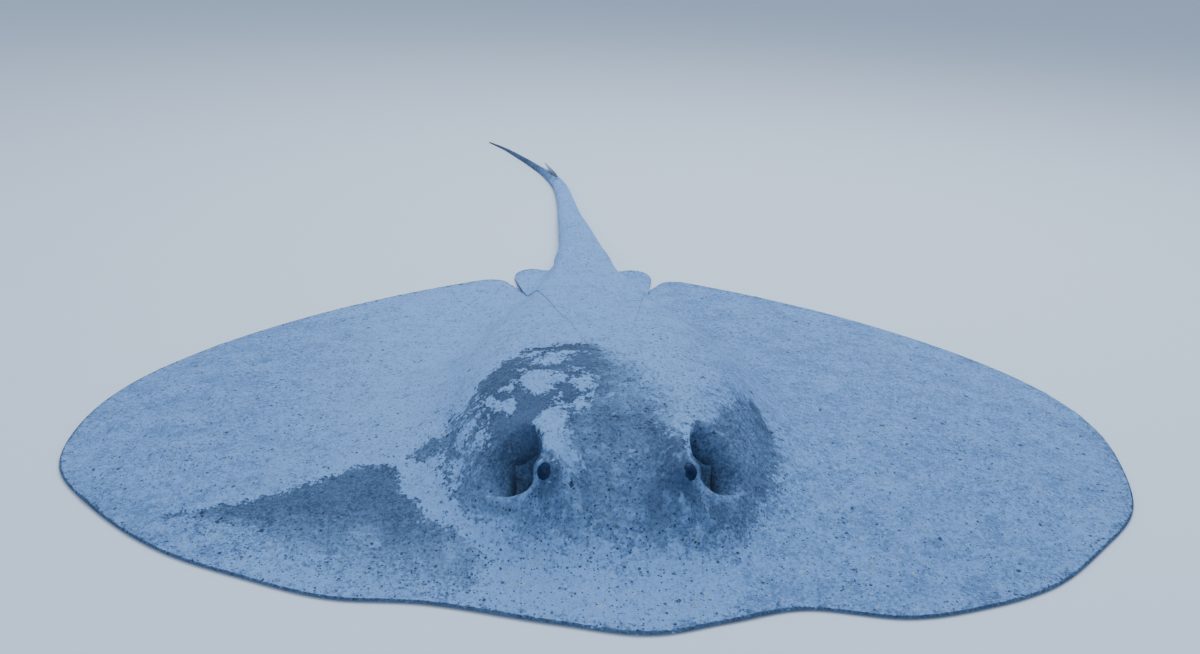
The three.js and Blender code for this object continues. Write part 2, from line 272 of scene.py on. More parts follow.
side = [(share * DISC_HALF, y) for share, y in SIDE_SHARES]
rear = side + REAR_TIP + AXIL + PELVIC_LOBE + [(TAIL_ROOT_HALF, TAIL_ROOT_Y)]
margin_points = np.array(
    SNOUT_TIP + FRONT_LEFT + rear + [(-x, y) for x, y in reversed(rear)] + FRONT_RIGHT[::-1],
    float,
)


def curve_through(points, steps, closed):
    """Points along a curve that passes through every given point without overshooting."""
    count = len(points)
    pieces = []
    for i in range(count if closed else count - 1):
        if closed:
            before, start, end, after = (points[(i + k) % count] for k in (-1, 0, 1, 2))
        else:
            start, end = points[i], points[i + 1]
            before = points[i - 1] if i else 2 * start - end
            after = points[i + 2] if i + 2 < count else 2 * end - start
        stretches = ((before, start), (start, end), (end, after))
        first, span, last = (math.sqrt(np.linalg.norm(q - p)) for p, q in stretches)
        leave = (start - before) / first - (end - before) / (first + span) + (end - start) / span
        arrive = (end - start) / span - (after - start) / (span + last) + (after - end) / last
        share = np.arange(steps)[:, None] / steps
        pieces.append(
            (2 * share**3 - 3 * share**2 + 1) * start
            + (share**3 - 2 * share**2 + share) * (leave * span)
            + (3 * share**2 - 2 * share**3) * end
            + (share**3 - share**2) * (arrive * span)
        )
    if not closed:
        pieces.append(points[-1:])
    return np.concatenate(pieces)


margin = curve_through(margin_points, 60, closed=True)
print("margin:", len(margin), "points,", round(float(np.ptp(margin[:, 0]))), "mm wide")

# %% [markdown]
# ## Spokes and rings
#
# A grid of squares would put as many faces on the plain fins as on the face. Spokes
# that all start on the crown of the head crowd together where the eyes and breathing
# holes are, and spread out over the fins. They end evenly along the margin, closer
# together round the small lobes at the rear. Rings cross them: round near the hub, and
# shaped like the margin farther out, about 1 mm apart on the head and 5 mm apart at the
# wide edge of a fin.

# %% Spokes
SPOKES = 720
SPOKE_BLEND = 0.4
REAR_CROWDING = 1.6
EDGE_ROUND = 3.0

margin_loop = np.vstack([margin, margin[:1]])
to_margin = margin_loop - HUB
turn = np.diff(np.unwrap(np.arctan2(to_margin[:, 1], to_margin[:, 0]))) / (2 * math.pi)
walk = np.linalg.norm(np.diff(margin_loop, axis=0), axis=1)
walk = walk / walk.sum() * (1 + REAR_CROWDING * smooth(700, 790, margin_loop[1:, 1]))
spread = np.concatenate([[0], np.cumsum(SPOKE_BLEND * turn + (1 - SPOKE_BLEND) * walk)])
wanted = np.linspace(0, spread[-1], SPOKES, endpoint=False)
spoke_ends = np.stack([np.interp(wanted, spread, margin_loop[:, k]) for k in (0, 1)], axis=1)

spoke_reach = np.linalg.norm(spoke_ends - HUB, axis=1)
spoke_way = (spoke_ends - HUB) / spoke_reach[:, None]
at_tail = (np.abs(spoke_ends[:, 0]) <= TAIL_ROOT_HALF) & (spoke_ends[:, 1] > TAIL_ROOT_Y - 12)
print("spokes:", SPOKES, "of which end at the tail's root:", int(at_tail.sum()))

# %% Rings
RING_EVENNESS = 360
HEAD_RINGS = 190
FIN_RINGS = 90
HEAD_SHARE = 0.47
BELLY_RINGS = 150


def ring_points(share):
    """Plan points of the rings at the given shares of the way to the margin."""
    inner_reach = spoke_reach - EDGE_ROUND
    share = np.asarray(share)[:, None]
    away = share * (inner_reach + (RING_EVENNESS - inner_reach) * (1 - share) ** 2)
    plan = HUB + away[..., None] * spoke_way
    return plan, away / spoke_reach


fin_steps = np.linspace(0, 1, FIN_RINGS + 1)[1:]
back_shares = np.concatenate([
    np.linspace(0, HEAD_SHARE, HEAD_RINGS + 1)[1:],
    HEAD_SHARE + (1 - HEAD_SHARE) * (0.55 * fin_steps + 0.45 * fin_steps**2),
])
belly_shares = np.linspace(0, 1, BELLY_RINGS + 1)[1:] ** 1.15
back_plan, back_reach = ring_points(back_shares)
belly_plan, belly_reach = ring_points(belly_shares)
print("back:", back_plan.shape[:2], "belly:", belly_plan.shape[:2])

# %% [markdown]
# ## The height of the back
#
# The back is three heights added together. The fin sheet is a few millimetres thick at
# the margin and thickens toward the hub. The body is a long mound with a flat crown and
# steep flanks, whose height and half width are read from stations along y. A long low
# ridge of the skull and a short brow carry each eye. Then come the forms under the skin:
# a hollow between the eyes, the crease where the fin starts, the backbone's ridge with a
# furrow on each side, the shoulder girdle, and the faint fan of the fin's rays. Near the
# notches at the rear the length of a spoke jumps, so the sheet there follows an
# evened-out length and only its rim falls away.

# %% Main heights
MARGIN_TOP = 5
SHEET_GAIN = (18, 52)
SHEET_Y = (-120, 180)
SHEET_POWER = 1.5
BODY_RISE = [
    (-95, 0), (-62, 6), (-40, 22), (-20, 42), (0, 55), (30, 65), (80, 71), (150, 75), (230, 74),
    (320, 68), (450, 55), (600, 45), (750, 40), (TAIL_ROOT_Y, 42),
]
BODY_HALF_WIDTH = [
    (-95, 66), (-62, 84), (-20, 109), (30, 136), (80, 151), (150, 163), (230, 168), (320, 160),
    (450, 132), (600, 96), (750, 62), (TAIL_ROOT_Y, 47),
]
BODY_CROWN = 0.14
BODY_FLANK_POWER = 8
ORBIT = {"x": 61, "y": 20, "rise": 14, "half_width": 22, "half_length": 42}
BROW = {"x": 63, "y": 0, "rise": 10, "half_width": 19, "half_length": 22}
SKIN_INSET = 1.0
LOBE_SPOKES = 45
RIM_FALL = 34

near_lobes = smooth(690, 740, spoke_ends[:, 1])
lobe_window = np.hanning(2 * LOBE_SPOKES + 1)
wrapped_reach = np.concatenate([spoke_reach[-LOBE_SPOKES:], spoke_reach, spoke_reach[:LOBE_SPOKES]])
even_reach = np.convolve(wrapped_reach, lobe_window / lobe_window.sum(), mode="valid")
sheet_reach = spoke_reach + (even_reach - spoke_reach) * near_lobes


def lobe_fall(reach):
    """One, falling to nothing at the rim of the lobes and notches at the rear."""
    gap = spoke_reach * (1 - reach) / RIM_FALL
    return 1 - hump(gap) * near_lobes * ~at_tail


def even_share(reach):
    """The share of the way to the rim, with the notches and lobes evened out."""
    return np.minimum(reach * spoke_reach / sheet_reach, 1)


def fin_sheet(reach, gain):
    """Thickness of the fin, with the notches and lobes at the rear kept out of its slope."""
    return MARGIN_TOP + gain * (1 - even_share(reach) ** SHEET_POWER) * lobe_fall(reach)


def main_height(x, y, reach):
    gain = SHEET_GAIN[0] + (SHEET_GAIN[1] - SHEET_GAIN[0]) * smooth(*SHEET_Y, y)
    sheet = fin_sheet(reach, gain)
    across = np.abs(x) / along(BODY_HALF_WIDTH, y)
    crown = np.maximum(1 - BODY_CROWN * across**2, 0)
    body = along(BODY_RISE, y) * crown / (1 + across**BODY_FLANK_POWER)
    height = sheet + body
    for ridge in (ORBIT, BROW):
        ridge_across = (np.abs(x) - ridge["x"]) / ridge["half_width"]
        ridge_down = (y - ridge["y"]) / ridge["half_length"]
        height = height + ridge["rise"] * hump(ridge_across) * hump(ridge_down)
    return height


print("crown of the head:", round(float(main_height(0, 70, 0).max()), 1), "mm")

# %% Forms under the skin
BACKBONE = {"half_width": 13, "rise": 3.5, "furrow_x": 36, "furrow": 2.2, "furrow_half": 13}
GIRDLE = {"x": 66, "y": 318, "rise": 4, "half_width": 34, "half_length": 40}
EYE_HOLLOW = {"y": 8, "depth": 5, "half_width": 27, "half_length": 55}
FIN_CREASE = {"at": 1.05, "half": 0.045, "depth": 3.2}
FIN_FOLD = {"at": 1.16, "half": 0.05, "rise": 1.2}
FIN_RAYS = 150
FIN_RAY_RISE = 0.35
FIN_RAY_MIDDLE = (20, 240)


def under_skin(x, y, reach):
    behind_head = smooth(330, 430, y) * (1 - smooth(800, 860, y))
    ridge = BACKBONE["rise"] * hump(x / BACKBONE["half_width"])
    side_x = np.abs(x)
    furrow_across = (side_x - BACKBONE["furrow_x"]) / BACKBONE["furrow_half"]
    relief = (ridge - BACKBONE["furrow"] * hump(furrow_across)) * behind_head
    girdle_across = hump((side_x - GIRDLE["x"]) / GIRDLE["half_width"])
    girdle_down = hump((y - GIRDLE["y"]) / GIRDLE["half_length"])
    relief += GIRDLE["rise"] * girdle_across * girdle_down
    hollow_down = hump((y - EYE_HOLLOW["y"]) / EYE_HOLLOW["half_length"])
    relief -= EYE_HOLLOW["depth"] * hump(x / EYE_HOLLOW["half_width"]) * hollow_down
    foot = side_x / along(BODY_HALF_WIDTH, y)
    by_head = smooth(10, 50, y) * smooth(190, 140, y)
    relief -= FIN_CREASE["depth"] * hump((foot - FIN_CREASE["at"]) / FIN_CREASE["half"]) * by_head
    relief += FIN_FOLD["rise"] * hump((foot - FIN_FOLD["at"]) / FIN_FOLD["half"]) * by_head
    bearing = np.arctan2(y - FIN_RAY_MIDDLE[1], side_x - FIN_RAY_MIDDLE[0])
    on_fin = smooth(170, 260, side_x) * (1 - smooth(0.9, 0.98, reach))
    relief += FIN_RAY_RISE * np.sin(FIN_RAYS * bearing) * on_fin
    return relief


print("backbone's ridge at its middle:", round(float(under_skin(0, 600, 0.6)), 2), "mm")

# %% [markdown]
# ## The breathing holes
#
# Behind each eye a ray has a spiracle, the hole it breathes in through while its mouth
# is against the sand. It is shaped like a bow, straight on the side of the eye. That rim
# is sharp and overhangs the hole, and the outer wall opens like a funnel onto the flank.
# A folded flap of skin, the valve, stands in it. Pushing the skin down only would leave
# straight walls, so each point moves down and toward the middle of the head, which tucks
# the deep part of the hole in under the eye.

# %% Spiracles
SPIRACLE = {"x": 96, "y": 25, "half_width": 25, "half_length": 31, "bow": 9, "depth": 44}
SPIRACLE_WAY = np.array([-0.42, 0.1, -0.9])
VALVE_STEP = 5.5
VALVE_GROOVE = 4.0
SPIRACLE_LIP = 1.8


def spiracle_place(x, y, side_sign):
    """Across and down the hole, each 1 at its rim, and how near the middle a point is."""
    down = (y - SPIRACLE["y"]) / SPIRACLE["half_length"]
    bowed = side_sign * x - SPIRACLE["x"] + SPIRACLE["bow"] * np.minimum(down**2, 2)
    across = bowed / (SPIRACLE["half_width"] * (1 - 0.12 * np.clip(down, -1, 1)))
    return across, down, np.hypot(across, down)


def past_fold(across, down):
    """How far a place lies on the valve's side of its folded edge."""
    return np.minimum(0.61 - 0.26 * across - down, 0.47 - across)


def spiracle_push(x, y, side_sign):
    """How deep each point is pushed, and how much lip is raised on it."""
    across, down, away = spiracle_place(x, y, side_sign)
    sharp = np.maximum(smooth(-0.1, 0.6, -across), smooth(0.3, 0.8, -down))
    inner = 0.1 + 0.58 * sharp
    outer = 1.3 - 0.27 * sharp
    depth = SPIRACLE["depth"] * (1 - smooth(inner, outer, away))
    fold = past_fold(across, down)
    inside = 1 - smooth(0.8, 1.0, away)
    depth -= VALVE_STEP * smooth(-0.05, 0.05, fold) * inside
    depth += VALVE_GROOVE * hump((fold + 0.08) / 0.06) * inside
    lip = SPIRACLE_LIP * hump((away - 1.1) / 0.12) * sharp * smooth(0.75, 0.2, down)
    return depth, lip


def open_spiracles(points):
    for side_sign in (1, -1):
        depth, lip = spiracle_push(points[..., 0], points[..., 1], side_sign)
        way = SPIRACLE_WAY * (side_sign, 1, 1) / np.linalg.norm(SPIRACLE_WAY)
        points = points + depth[..., None] * way
        points[..., 2] += lip
    return points


print("spiracle's depth at its middle:", round(float(spiracle_push(95, 12, 1)[0]), 1), "mm")

# %% [markdown]
# ## Eyes and the skin round them
#
# A ray's eye is a ball sunk in a mound of skin, with no eyelids that close. The skin
# covers the ball except for an upright oval that faces out and forward. Round the ball
# every point of skin is measured from the ball's middle: outside the oval it is lifted
# until it clears the ball, and inside it is drawn in behind the ball's surface, so the
# ball shows. A thick rim runs round the oval.

# %% Eye sockets
BALL_RADIUS = (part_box("eye_left")[1].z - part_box("eye_left")[0].z) / 2 / MM
GAZE = np.array([0.48, -0.74, 0.47])
OVAL_ACROSS = math.radians(34)
OVAL_UP = math.radians(44)
LID = 0.9
LID_RIM = 0.9
BEHIND_BALL = 2.0


def gaze_axes(side_sign):
    """Three unit directions: out of the pupil, across the oval and up it."""
    out = GAZE * (side_sign, 1, 1)
    out = out / np.linalg.norm(out)
    over = np.cross((0, 0, 1), out)
    over = over / np.linalg.norm(over)
    return out, over, np.cross(out, over)


def seat_eyes(points):
    for side_sign, middle in eye_middles.items():
        ball = in_layout(middle)
        out, over, up = gaze_axes(side_sign)
        offset = points - ball
        away = np.linalg.norm(offset, axis=-1)
        near = away < BALL_RADIUS * 2.6
        offset, away = offset[near], away[near]
        heading = offset / away[:, None]
        oval = np.hypot(heading @ over / math.sin(OVAL_ACROSS), heading @ up / math.sin(OVAL_UP))
        oval = np.where(heading @ out > 0, oval, 3.0)
        cover = BALL_RADIUS + LID + LID_RIM * hump((oval - 1.25) / 0.22)
        fillet = 4 + 50 * smooth(2.5 * BALL_RADIUS, 1.7 * BALL_RADIUS, away) * (oval > 1.5)
        lifted = 0.5 * (away + cover + np.sqrt((away - cover) ** 2 + fillet))
        show = 1 - smooth(0.93, 1.03, oval)
        moved = lifted * (1 - show) + (BALL_RADIUS - BEHIND_BALL) * show
        fresh = points[near]
        fresh[:] = ball + heading * moved[:, None]
        points[near] = fresh
    return points


print("eyeball radius:", round(BALL_RADIUS, 2), "mm")

# %% [markdown]
# ## Where sand lies
#
# A ray that has lain under sand carries it off on its back: a full coat over the fins
# and tail, which stops at crisp ragged edges where a swimming muscle has shaken it off,
# and a thin film of dust elsewhere. Closed outlines mark the bare skin, and the distance
# inside them is kept at every point. Its sign says sand or skin, and it also lifts the
# sand by its own thickness, so the edge of a patch is a real small step. A small patch is
# given by its middle and its half sizes.

# %% Bare skin and patches of sand
def round_outline(points):
    return curve_through(np.array(points, float), 6, closed=True)


BARE_HEAD = round_outline([
    (-156, 100), (-157, 128), (-142, 149), (-125, 177), (-105, 207), (-72, 231), (-42, 238),
    (-6, 220), (22, 186), (46, 146), (62, 104), (66, 80), (84, 72), (104, 98), (131, 134),
    (156, 160), (172, 142), (177, 98), (169, 54), (149, 9), (121, -25), (89, -43), (57, -49),
    (17, -51), (-17, -49), (-53, -44), (-84, -37), (-108, -21), (-129, 2), (-155, 45),
])
FIN_CREST = [
    (-440, 52), (-379, 62), (-340, 72), (-311, 78), (-288, 89), (-264, 102), (-244, 106),
    (-225, 97), (-213, 70), (-199, 50), (-185, 23), (-155, -7), (-128, -40),
]
FIN_FRONT = [
    (-440, 46), (-400, 34), (-351, 4), (-308, -32), (-265, -62), (-225, -84), (-171, -94),
    (-128, -72),
]
BARE_FIN = round_outline(FIN_CREST + FIN_FRONT[::-1])
BARE_NECK = round_outline([
    (-210, 112), (-189, 125), (-165, 123), (-148, 112), (-152, 96), (-172, 96), (-196, 100),
])
ISLANDS = [round_outline(points) for points in (
    [(-95, 148), (-84, 160), (-61, 147), (-46, 141), (-50, 129), (-61, 116), (-74, 107), (-87, 118)],
    [(-51, 108), (-57, 94), (-67, 74), (-78, 62), (-76, 45), (-71, 24), (-67, 6), (-62, -4),
     (-50, 0), (-43, 11), (-47, 26), (-46, 44), (-45, 66), (-48, 88)],
    [(-118, 119), (-110, 109), (-98, 114), (-96, 97), (-102, 82), (-110, 85), (-116, 100)],
    [(-38, 135), (-20, 139), (-16, 127), (-28, 110), (-36, 117)],
    [(57, 60), (68, 74), (84, 66), (79, 52), (75, 34), (71, 14), (67, 8), (64, 22), (59, 38)],
)]
SAND_PATCHES = [
    (-60, 184, 22, 9), (-92, 163, 8, 6), (-46, 204, 16, 6), (-76, 214, 9, 6), (-150, 98, 8, 38),
    (-104, 126, 7, 6), (-133, 74, 8, 14), (-34, 86, 6, 12), (-124, 120, 7, 6), (-140, 104, 6, 8),
    (-20, 104, 5, 6), (-100, 140, 6, 5), (-32, 156, 6, 5),
]
BARE_FOLD = (-162, 98, 5.5, 40)
BARE_BY_EYE = 13
# The bare band along the margin is bare skin and also painted shade: it stands for the dark shade
# line under the disc's edge.
BARE_AND_SHADED_RIM = 2.6
RAGGED_WIDE = (4.0, 30, 11, 2)
RAGGED_FINE = (5.5, 11, 12, 4)


def distance_inside(outline, x, y):
    """How far inside a closed outline each point is, in mm, and negative outside."""
    nearest = np.full(x.shape, np.inf)
    inside = np.zeros(x.shape, bool)
    for (ax, ay), (bx, by) in zip(outline, np.roll(outline, -1, axis=0)):
        run, rise = bx - ax, by - ay
        share = np.clip(((x - ax) * run + (y - ay) * rise) / (run**2 + rise**2), 0, 1)
        nearest = np.minimum(nearest, np.hypot(x - ax - share * run, y - ay - share * rise))
        if rise:
            inside ^= ((ay > y) != (by > y)) & (x < ax + (y - ay) * run / rise)
    return np.where(inside, nearest, -nearest)


def sand_edge(x, y, rim_gap):
    """Millimetres inside the sand (positive) or inside the bare skin (negative)."""
    flat = on_floor(x, y)
    ragged = lumps(flat, *RAGGED_WIDE) + lumps(flat, *RAGGED_FINE)
    outlines = (BARE_HEAD, BARE_FIN, BARE_NECK)
    bare = np.max([distance_inside(outline, x, y) for outline in outlines], axis=0)
    edge = 0.8 * ragged * (0.4 + 0.6 * smooth(-230, -200, x)) - bare
    for island in ISLANDS:
        edge = np.maximum(edge, distance_inside(island, x, y) + 0.7 * ragged)
    for middle_x, middle_y, half_x, half_y in SAND_PATCHES:
        apart = np.hypot((x - middle_x) / half_x, (y - middle_y) / half_y)
        edge = np.maximum(edge, (1 - apart) * min(half_x, half_y) * 0.8 + 0.85 * ragged)
    for side_sign in (1, -1):
        across, down, away = spiracle_place(x, y, side_sign)
        edge = np.minimum(edge, (away - 0.95) * 26)
    for side_sign, middle in eye_middles.items():
        eye_x, eye_y, _ = in_layout(middle)
        apart = np.hypot(x - eye_x - side_sign * 3, y - eye_y + 6)
        edge = np.minimum(edge, apart - BARE_BY_EYE)
    middle_x, middle_y, half_x, half_y = BARE_FOLD
    fold = np.hypot((x - middle_x) / half_x, (y - middle_y) / half_y)
    edge = np.minimum(edge, (fold - 1) * 5 + 0.3 * ragged)
    return np.minimum(edge, rim_gap - BARE_AND_SHADED_RIM + 0.3 * ragged)


back_x, back_y = back_plan[..., 0], back_plan[..., 1]
rim_gap = (1 - back_reach) * spoke_reach + 400 * at_tail
back_edge = sand_edge(back_x, back_y, rim_gap)
print("share of the back that is bare:", round(float((back_edge < 0).mean()), 2))

# %% [markdown]
# ## Dust on the bare skin
#
# Bare skin is never quite clean. A thin film lies all over it, thicker in hollows and
# beside the sand, and thinner where water washes past. Each spot adds film there, or
# takes some away where its amount is negative. The wide spot on the front of the head is
# also painted light: its film lightens the front slope, which faces away from the lamp.
# A spot is given by its middle, its half sizes and its amount. The film is kept as one
# number per point.

# %% The film of dust
FILM_BASE = 0.18
# The spot at (0, -42) is painted light as well as dust: its film lightens the front slope of the
# head, which faces away from the lamp.
DUST_AND_LIGHT_SPOTS = [
    (0, 26, 40, 44, 0.5), (0, -42, 100, 28, 0.75), (140, 80, 34, 70, 0.6), (40, 104, 40, 30, 0.5),
    (-112, -22, 50, 20, 0.55), (-140, 46, 16, 40, 0.35), (14, 160, 30, 56, 0.45),
    (-40, -8, 26, 26, 0.15), (92, -30, 36, 14, 0.4), (-96, -38, 40, 14, 0.5),
    (-160, -40, 40, 40, 0.35), (96, 56, 22, 14, 0.35),
    (-24, 60, 12, 40, 0.3), (110, -2, 24, 22, 0.55), (56, 17, 12, 18, -0.4),
    (36, -24, 16, 14, -0.7), (94, -18, 16, 10, -0.7), (-120, 14, 28, 26, 0.35),
]
FIN_DUST = 0.17
SOFT_REACH = 15
SOFT_CROWN_REACH = 46
CLUMP_FILM = 0.18


def dust_and_light_film(x, y, edge):
    """How much dust lies on bare skin, with painted light on the front slope, how soft the sand's
    edge is there, and its clumps.
    """
    clear = np.full(x.shape, 1 - FILM_BASE)
    for middle_x, middle_y, half_x, half_y, amount in DUST_AND_LIGHT_SPOTS:
        clear *= 1 - amount * hump((x - middle_x) / half_x) * hump((y - middle_y) / half_y)
    on_crown = smooth(2, -24, x) * smooth(28, 60, y) * smooth(-166, -150, x)
    crest, front = (np.interp(x, *np.array(rows).T) for rows in (FIN_CREST, FIN_FRONT))
    up_fin = (y - front) / (crest - front)
    beside_head = smooth(-122, -150, x)
    fin_dust = FIN_DUST + 0.12 * smooth(-230, -180, x) + 0.4 * smooth(-330, -430, x)
    fin_dust = 1 - (1 - fin_dust) * (1 - 0.95 * smooth(0.8, 0.05, up_fin))
    clear *= 1 - fin_dust * beside_head
    soft = 1 - np.clip(on_crown + beside_head * smooth(0.5, 0.75, up_fin), 0, 1)
    for side_sign in (1, -1):
        soft *= smooth(1.15, 1.5, spiracle_place(x, y, side_sign)[2])
    by_crown = smooth(-12, 20, x) * smooth(40, 80, y) * smooth(115, 85, x)
    reach = SOFT_REACH + (SOFT_CROWN_REACH - SOFT_REACH) * by_crown
    clear *= 1 - soft * smooth(-reach, 3, edge)
    streaks = cloud(on_floor(x, 0.22 * y), 10, 15, 3)
    clear *= 1 - 0.22 * streaks * hump(x / 85) * hump((y - 10) / 70)
    for side_sign, middle in eye_middles.items():
        eye_x, eye_y, _ = in_layout(middle)
        apart = np.hypot(x - eye_x - side_sign * 3, 0.9 * (y - eye_y + 8))
        soft *= smooth(14, 22, apart)
        clear = 1 - (1 - clear) * (0.3 + 0.7 * smooth(8, 14, apart))
        crumbs = smooth(0.25, 0.6, cloud(on_floor(x, y), 5, 16, 2))
        clear *= 1 - 0.6 * crumbs * hump((apart - 18) / 14)
    for side_sign in (1, -1):
        _, down, away = spiracle_place(x, y, side_sign)
        clear *= 1 - 0.75 * hump((away - 1.1) / 0.12) * smooth(-0.1, -0.6, down)
    clumps = smooth(0.3, 0.75, cloud(on_floor(x, y), 12, 14, 3))
    clumps *= smooth(0.26, 0.5, 1 - clear) * (edge < 0)
    return 1 - clear + CLUMP_FILM * clumps, soft, clumps


back_dust_and_light, back_soft, back_clumps = dust_and_light_film(back_x, back_y, back_edge)
print("film of dust, least and most:", back_dust_and_light.min().round(2), back_dust_and_light.max().round(2))

# %% [markdown]
# ## The skin of the back
#
# Now the pieces come together in the order a modeller would work: the big form, the forms
# under the skin, low waves of the resting fin, creases and fine lumps, the sand's own
# thickness, and last the openings, because they bend everything near them. Away from
# the openings the skin keeps close to the solids, whose place it takes. A crease is
# given by its two ends and its depth, and a negative depth makes a fold that stands up.

# %% Lay the back
SAND_THICK = 0.9
CLUMP_RISE = 0.9
FIN_WAVES = (1.5, 150, 3, 2)
FINE_LUMPS = (0.42, 6, 6, 3)
BROW_FOLDS = (1.9, 16, 7, 3)
SAND_LUMPS = (0.25, 14, 8, 3)
CREASE_DEPTH = 1.7
CREASES = [
    ((-78, -27), (-61, -23), 1.3), ((-66, -30), (-46, -20), 1.1), ((-31, 10), (-30, -18), -0.9),
    ((-97, -14), (-74, -9), 0.9), ((52, -12), (60, -26), 0.8), ((104, -22), (86, -31), 0.9),
    ((-20, -38), (14, -43), 0.8), ((-16, -33), (20, -37), 0.6),
]


def creases(x, y):
    relief = np.zeros_like(x)
    for start, end, depth in CREASES:
        run, rise = end[0] - start[0], end[1] - start[1]
        on_x, on_y = x - start[0], y - start[1]
        share = np.clip((on_x * run + on_y * rise) / math.hypot(run, rise) ** 2, 0, 1)
        apart = np.hypot(on_x - share * run, on_y - share * rise)
        relief -= CREASE_DEPTH * depth * (hump(apart / 1.7) - 0.5 * hump((apart - 3.6) / 2.0))
    return relief


def lay_back(plan, reach, edge):
    x, y = plan[..., 0], plan[..., 1]
    flat = on_floor(x, y)
    height = main_height(x, y, reach) - SKIN_INSET + under_skin(x, y, reach)
    on_fin = smooth(190, 330, np.hypot(x, 0.8 * (y - 250)))
    toward_rim = smooth(1.02, 0.8, even_share(reach)) * lobe_fall(reach)
    height += lumps(flat, *FIN_WAVES) * on_fin * toward_rim
    height += (0.8 + 0.4 * on_fin) * cloud(flat, 30, 5, 3) * toward_rim
    height += lumps(flat, *FINE_LUMPS) * smooth(230, 160, np.abs(x)) * toward_rim
    brow = smooth(70, 20, y) * smooth(-60, -40, y) * smooth(130, 90, np.abs(x))
    height += lumps(flat * (1, 0.25, 1), *BROW_FOLDS) * brow
    height += CLUMP_RISE * back_clumps
    height += creases(x, y)
    thickness = SAND_THICK * smooth(-1.2 - 14 * back_soft, 1.6 + 8 * back_soft, edge)
    height += thickness * (0.75 + lumps(flat, *SAND_LUMPS)) * smooth(1.0, 0.95, reach)
    return np.concatenate([plan, height[..., None]], axis=-1)


back = lay_back(back_plan, back_reach, back_edge)
back = seat_eyes(open_spiracles(back))
print("back, highest point:", round(float(back[..., 2].max()), 1), "mm")

# %% [markdown]
# ## The underside
#
# The underside is white and flat, and carries what a ray hides there: a small mouth with
# a nostril in front of each corner, joined by a curtain of skin, five pairs of gill
# slits in two curved rows, and one opening between the pelvic fins. The skin lies about
# half a millimetre above the floor, and its features are hollows that go up.

# %% Lay the belly
BELLY_CLEAR = 0.15
BELLY_LOWEST = 0.1
MOUTH = {"y": 22, "half_width": 36, "bow": 7}
NOSTRIL = {"x": 31, "y": -3}
GILL_SLITS = [(96, 98), (99, 132), (97, 166), (91, 200), (81, 233)]
CURTAIN_Y = 11
VENT_Y = 742


def belly_relief(x, y):
    """How far the skin rises into the body, and how much painted shade darkens each opening."""
    side_x = np.abs(x)
    mouth_line = MOUTH["y"] - MOUTH["bow"] * (side_x / MOUTH["half_width"]) ** 2
    in_mouth = 1 - smooth(MOUTH["half_width"] - 6, MOUTH["half_width"] + 3, side_x)
    slit = hump((y - mouth_line) / 2.4) * in_mouth
    lips = hump((y - mouth_line) / 13) * hump(x / 44)
    rise = 2.6 * lips - 1.9 * hump((np.abs(y - mouth_line) - 6) / 3) * in_mouth + 8 * slit
    nostril = hump(np.hypot(side_x - NOSTRIL["x"], 1.5 * (y - NOSTRIL["y"])) / 5)
    curtain = hump((y - CURTAIN_Y) / 1.6) * (1 - smooth(24, 30, side_x))
    rise += 6 * nostril + 1.8 * curtain
    # Painted shade inside the mouth, the nostrils, the gill slits and the vent.
    dark = np.maximum(slit, 0.9 * nostril)
    for slit_x, slit_y in GILL_SLITS:
        bowed = slit_y + 0.02 * (side_x - slit_x) ** 2
        gill = hump((y - bowed) / 2.6) * (1 - smooth(9, 15, np.abs(side_x - slit_x)))
        flap = hump((y - bowed + 5) / 4) * (1 - smooth(10, 18, np.abs(side_x - slit_x)))
        rise += 5 * gill + 1.1 * flap
        dark = np.maximum(dark, 0.85 * gill)
    vent = hump(x / 2.6) * (1 - smooth(12, 20, np.abs(y - VENT_Y)))
    rise += 5 * vent + 1.2 * hump(x / 14) * hump((y - VENT_Y) / 26)
    return rise, np.maximum(dark, 0.8 * vent)


belly_x, belly_y = belly_plan[..., 0], belly_plan[..., 1]
belly_rise, belly_opening_shade = belly_relief(belly_x, belly_y)
belly_lumps = 0.5 + 0.35 * cloud(on_floor(belly_x, belly_y), 45, 21, 3)
belly_height = BELLY_CLEAR + belly_rise
belly_height = belly_height + np.maximum(belly_lumps, 0) * smooth(1.0, 0.9, belly_reach)
belly_height = np.maximum(belly_height, BELLY_LOWEST)
belly = np.concatenate([belly_plan, belly_height[..., None]], axis=-1)
print("belly, lowest point:", round(float(belly[..., 2].min()), 2), "mm")

# %% [markdown]
# ## The margin
#
# The edge of the disc is a thin round rim. A few rows of points carry the top skin round
# it to the underside. Where the disc meets the tail there is no rim, and the rows are
# left open for the tail to grow from.

# %% Round the margin
RIM_TURNS = np.radians([62, 34, 0, -34, -62])
RIM_CLEAR = 0.3
rim_top = back[-1, :, 2]
rim_rows = []
for turn_angle in RIM_TURNS:
    away = spoke_reach - EDGE_ROUND + EDGE_ROUND * math.cos(turn_angle)
    level = RIM_CLEAR + (rim_top - RIM_CLEAR) * (1 + math.sin(turn_angle)) / 2
    rim_rows.append(np.column_stack([HUB + away[:, None] * spoke_way, level]))
rim = np.array(rim_rows)
print("rim height along the snout:", rim_top[~at_tail].min().round(2), "mm")

# %% [markdown]
# ## The tail
#
# The tail grows out of the opening left in the disc. Every ring of it has one point for
# each point of that opening, so no seam is needed. The rings follow a curved centre line
# and start with the opening's own shape, which turns within 80 mm into the tail's
# section: an arch over a flat sole, wide at the root and round at the whip.

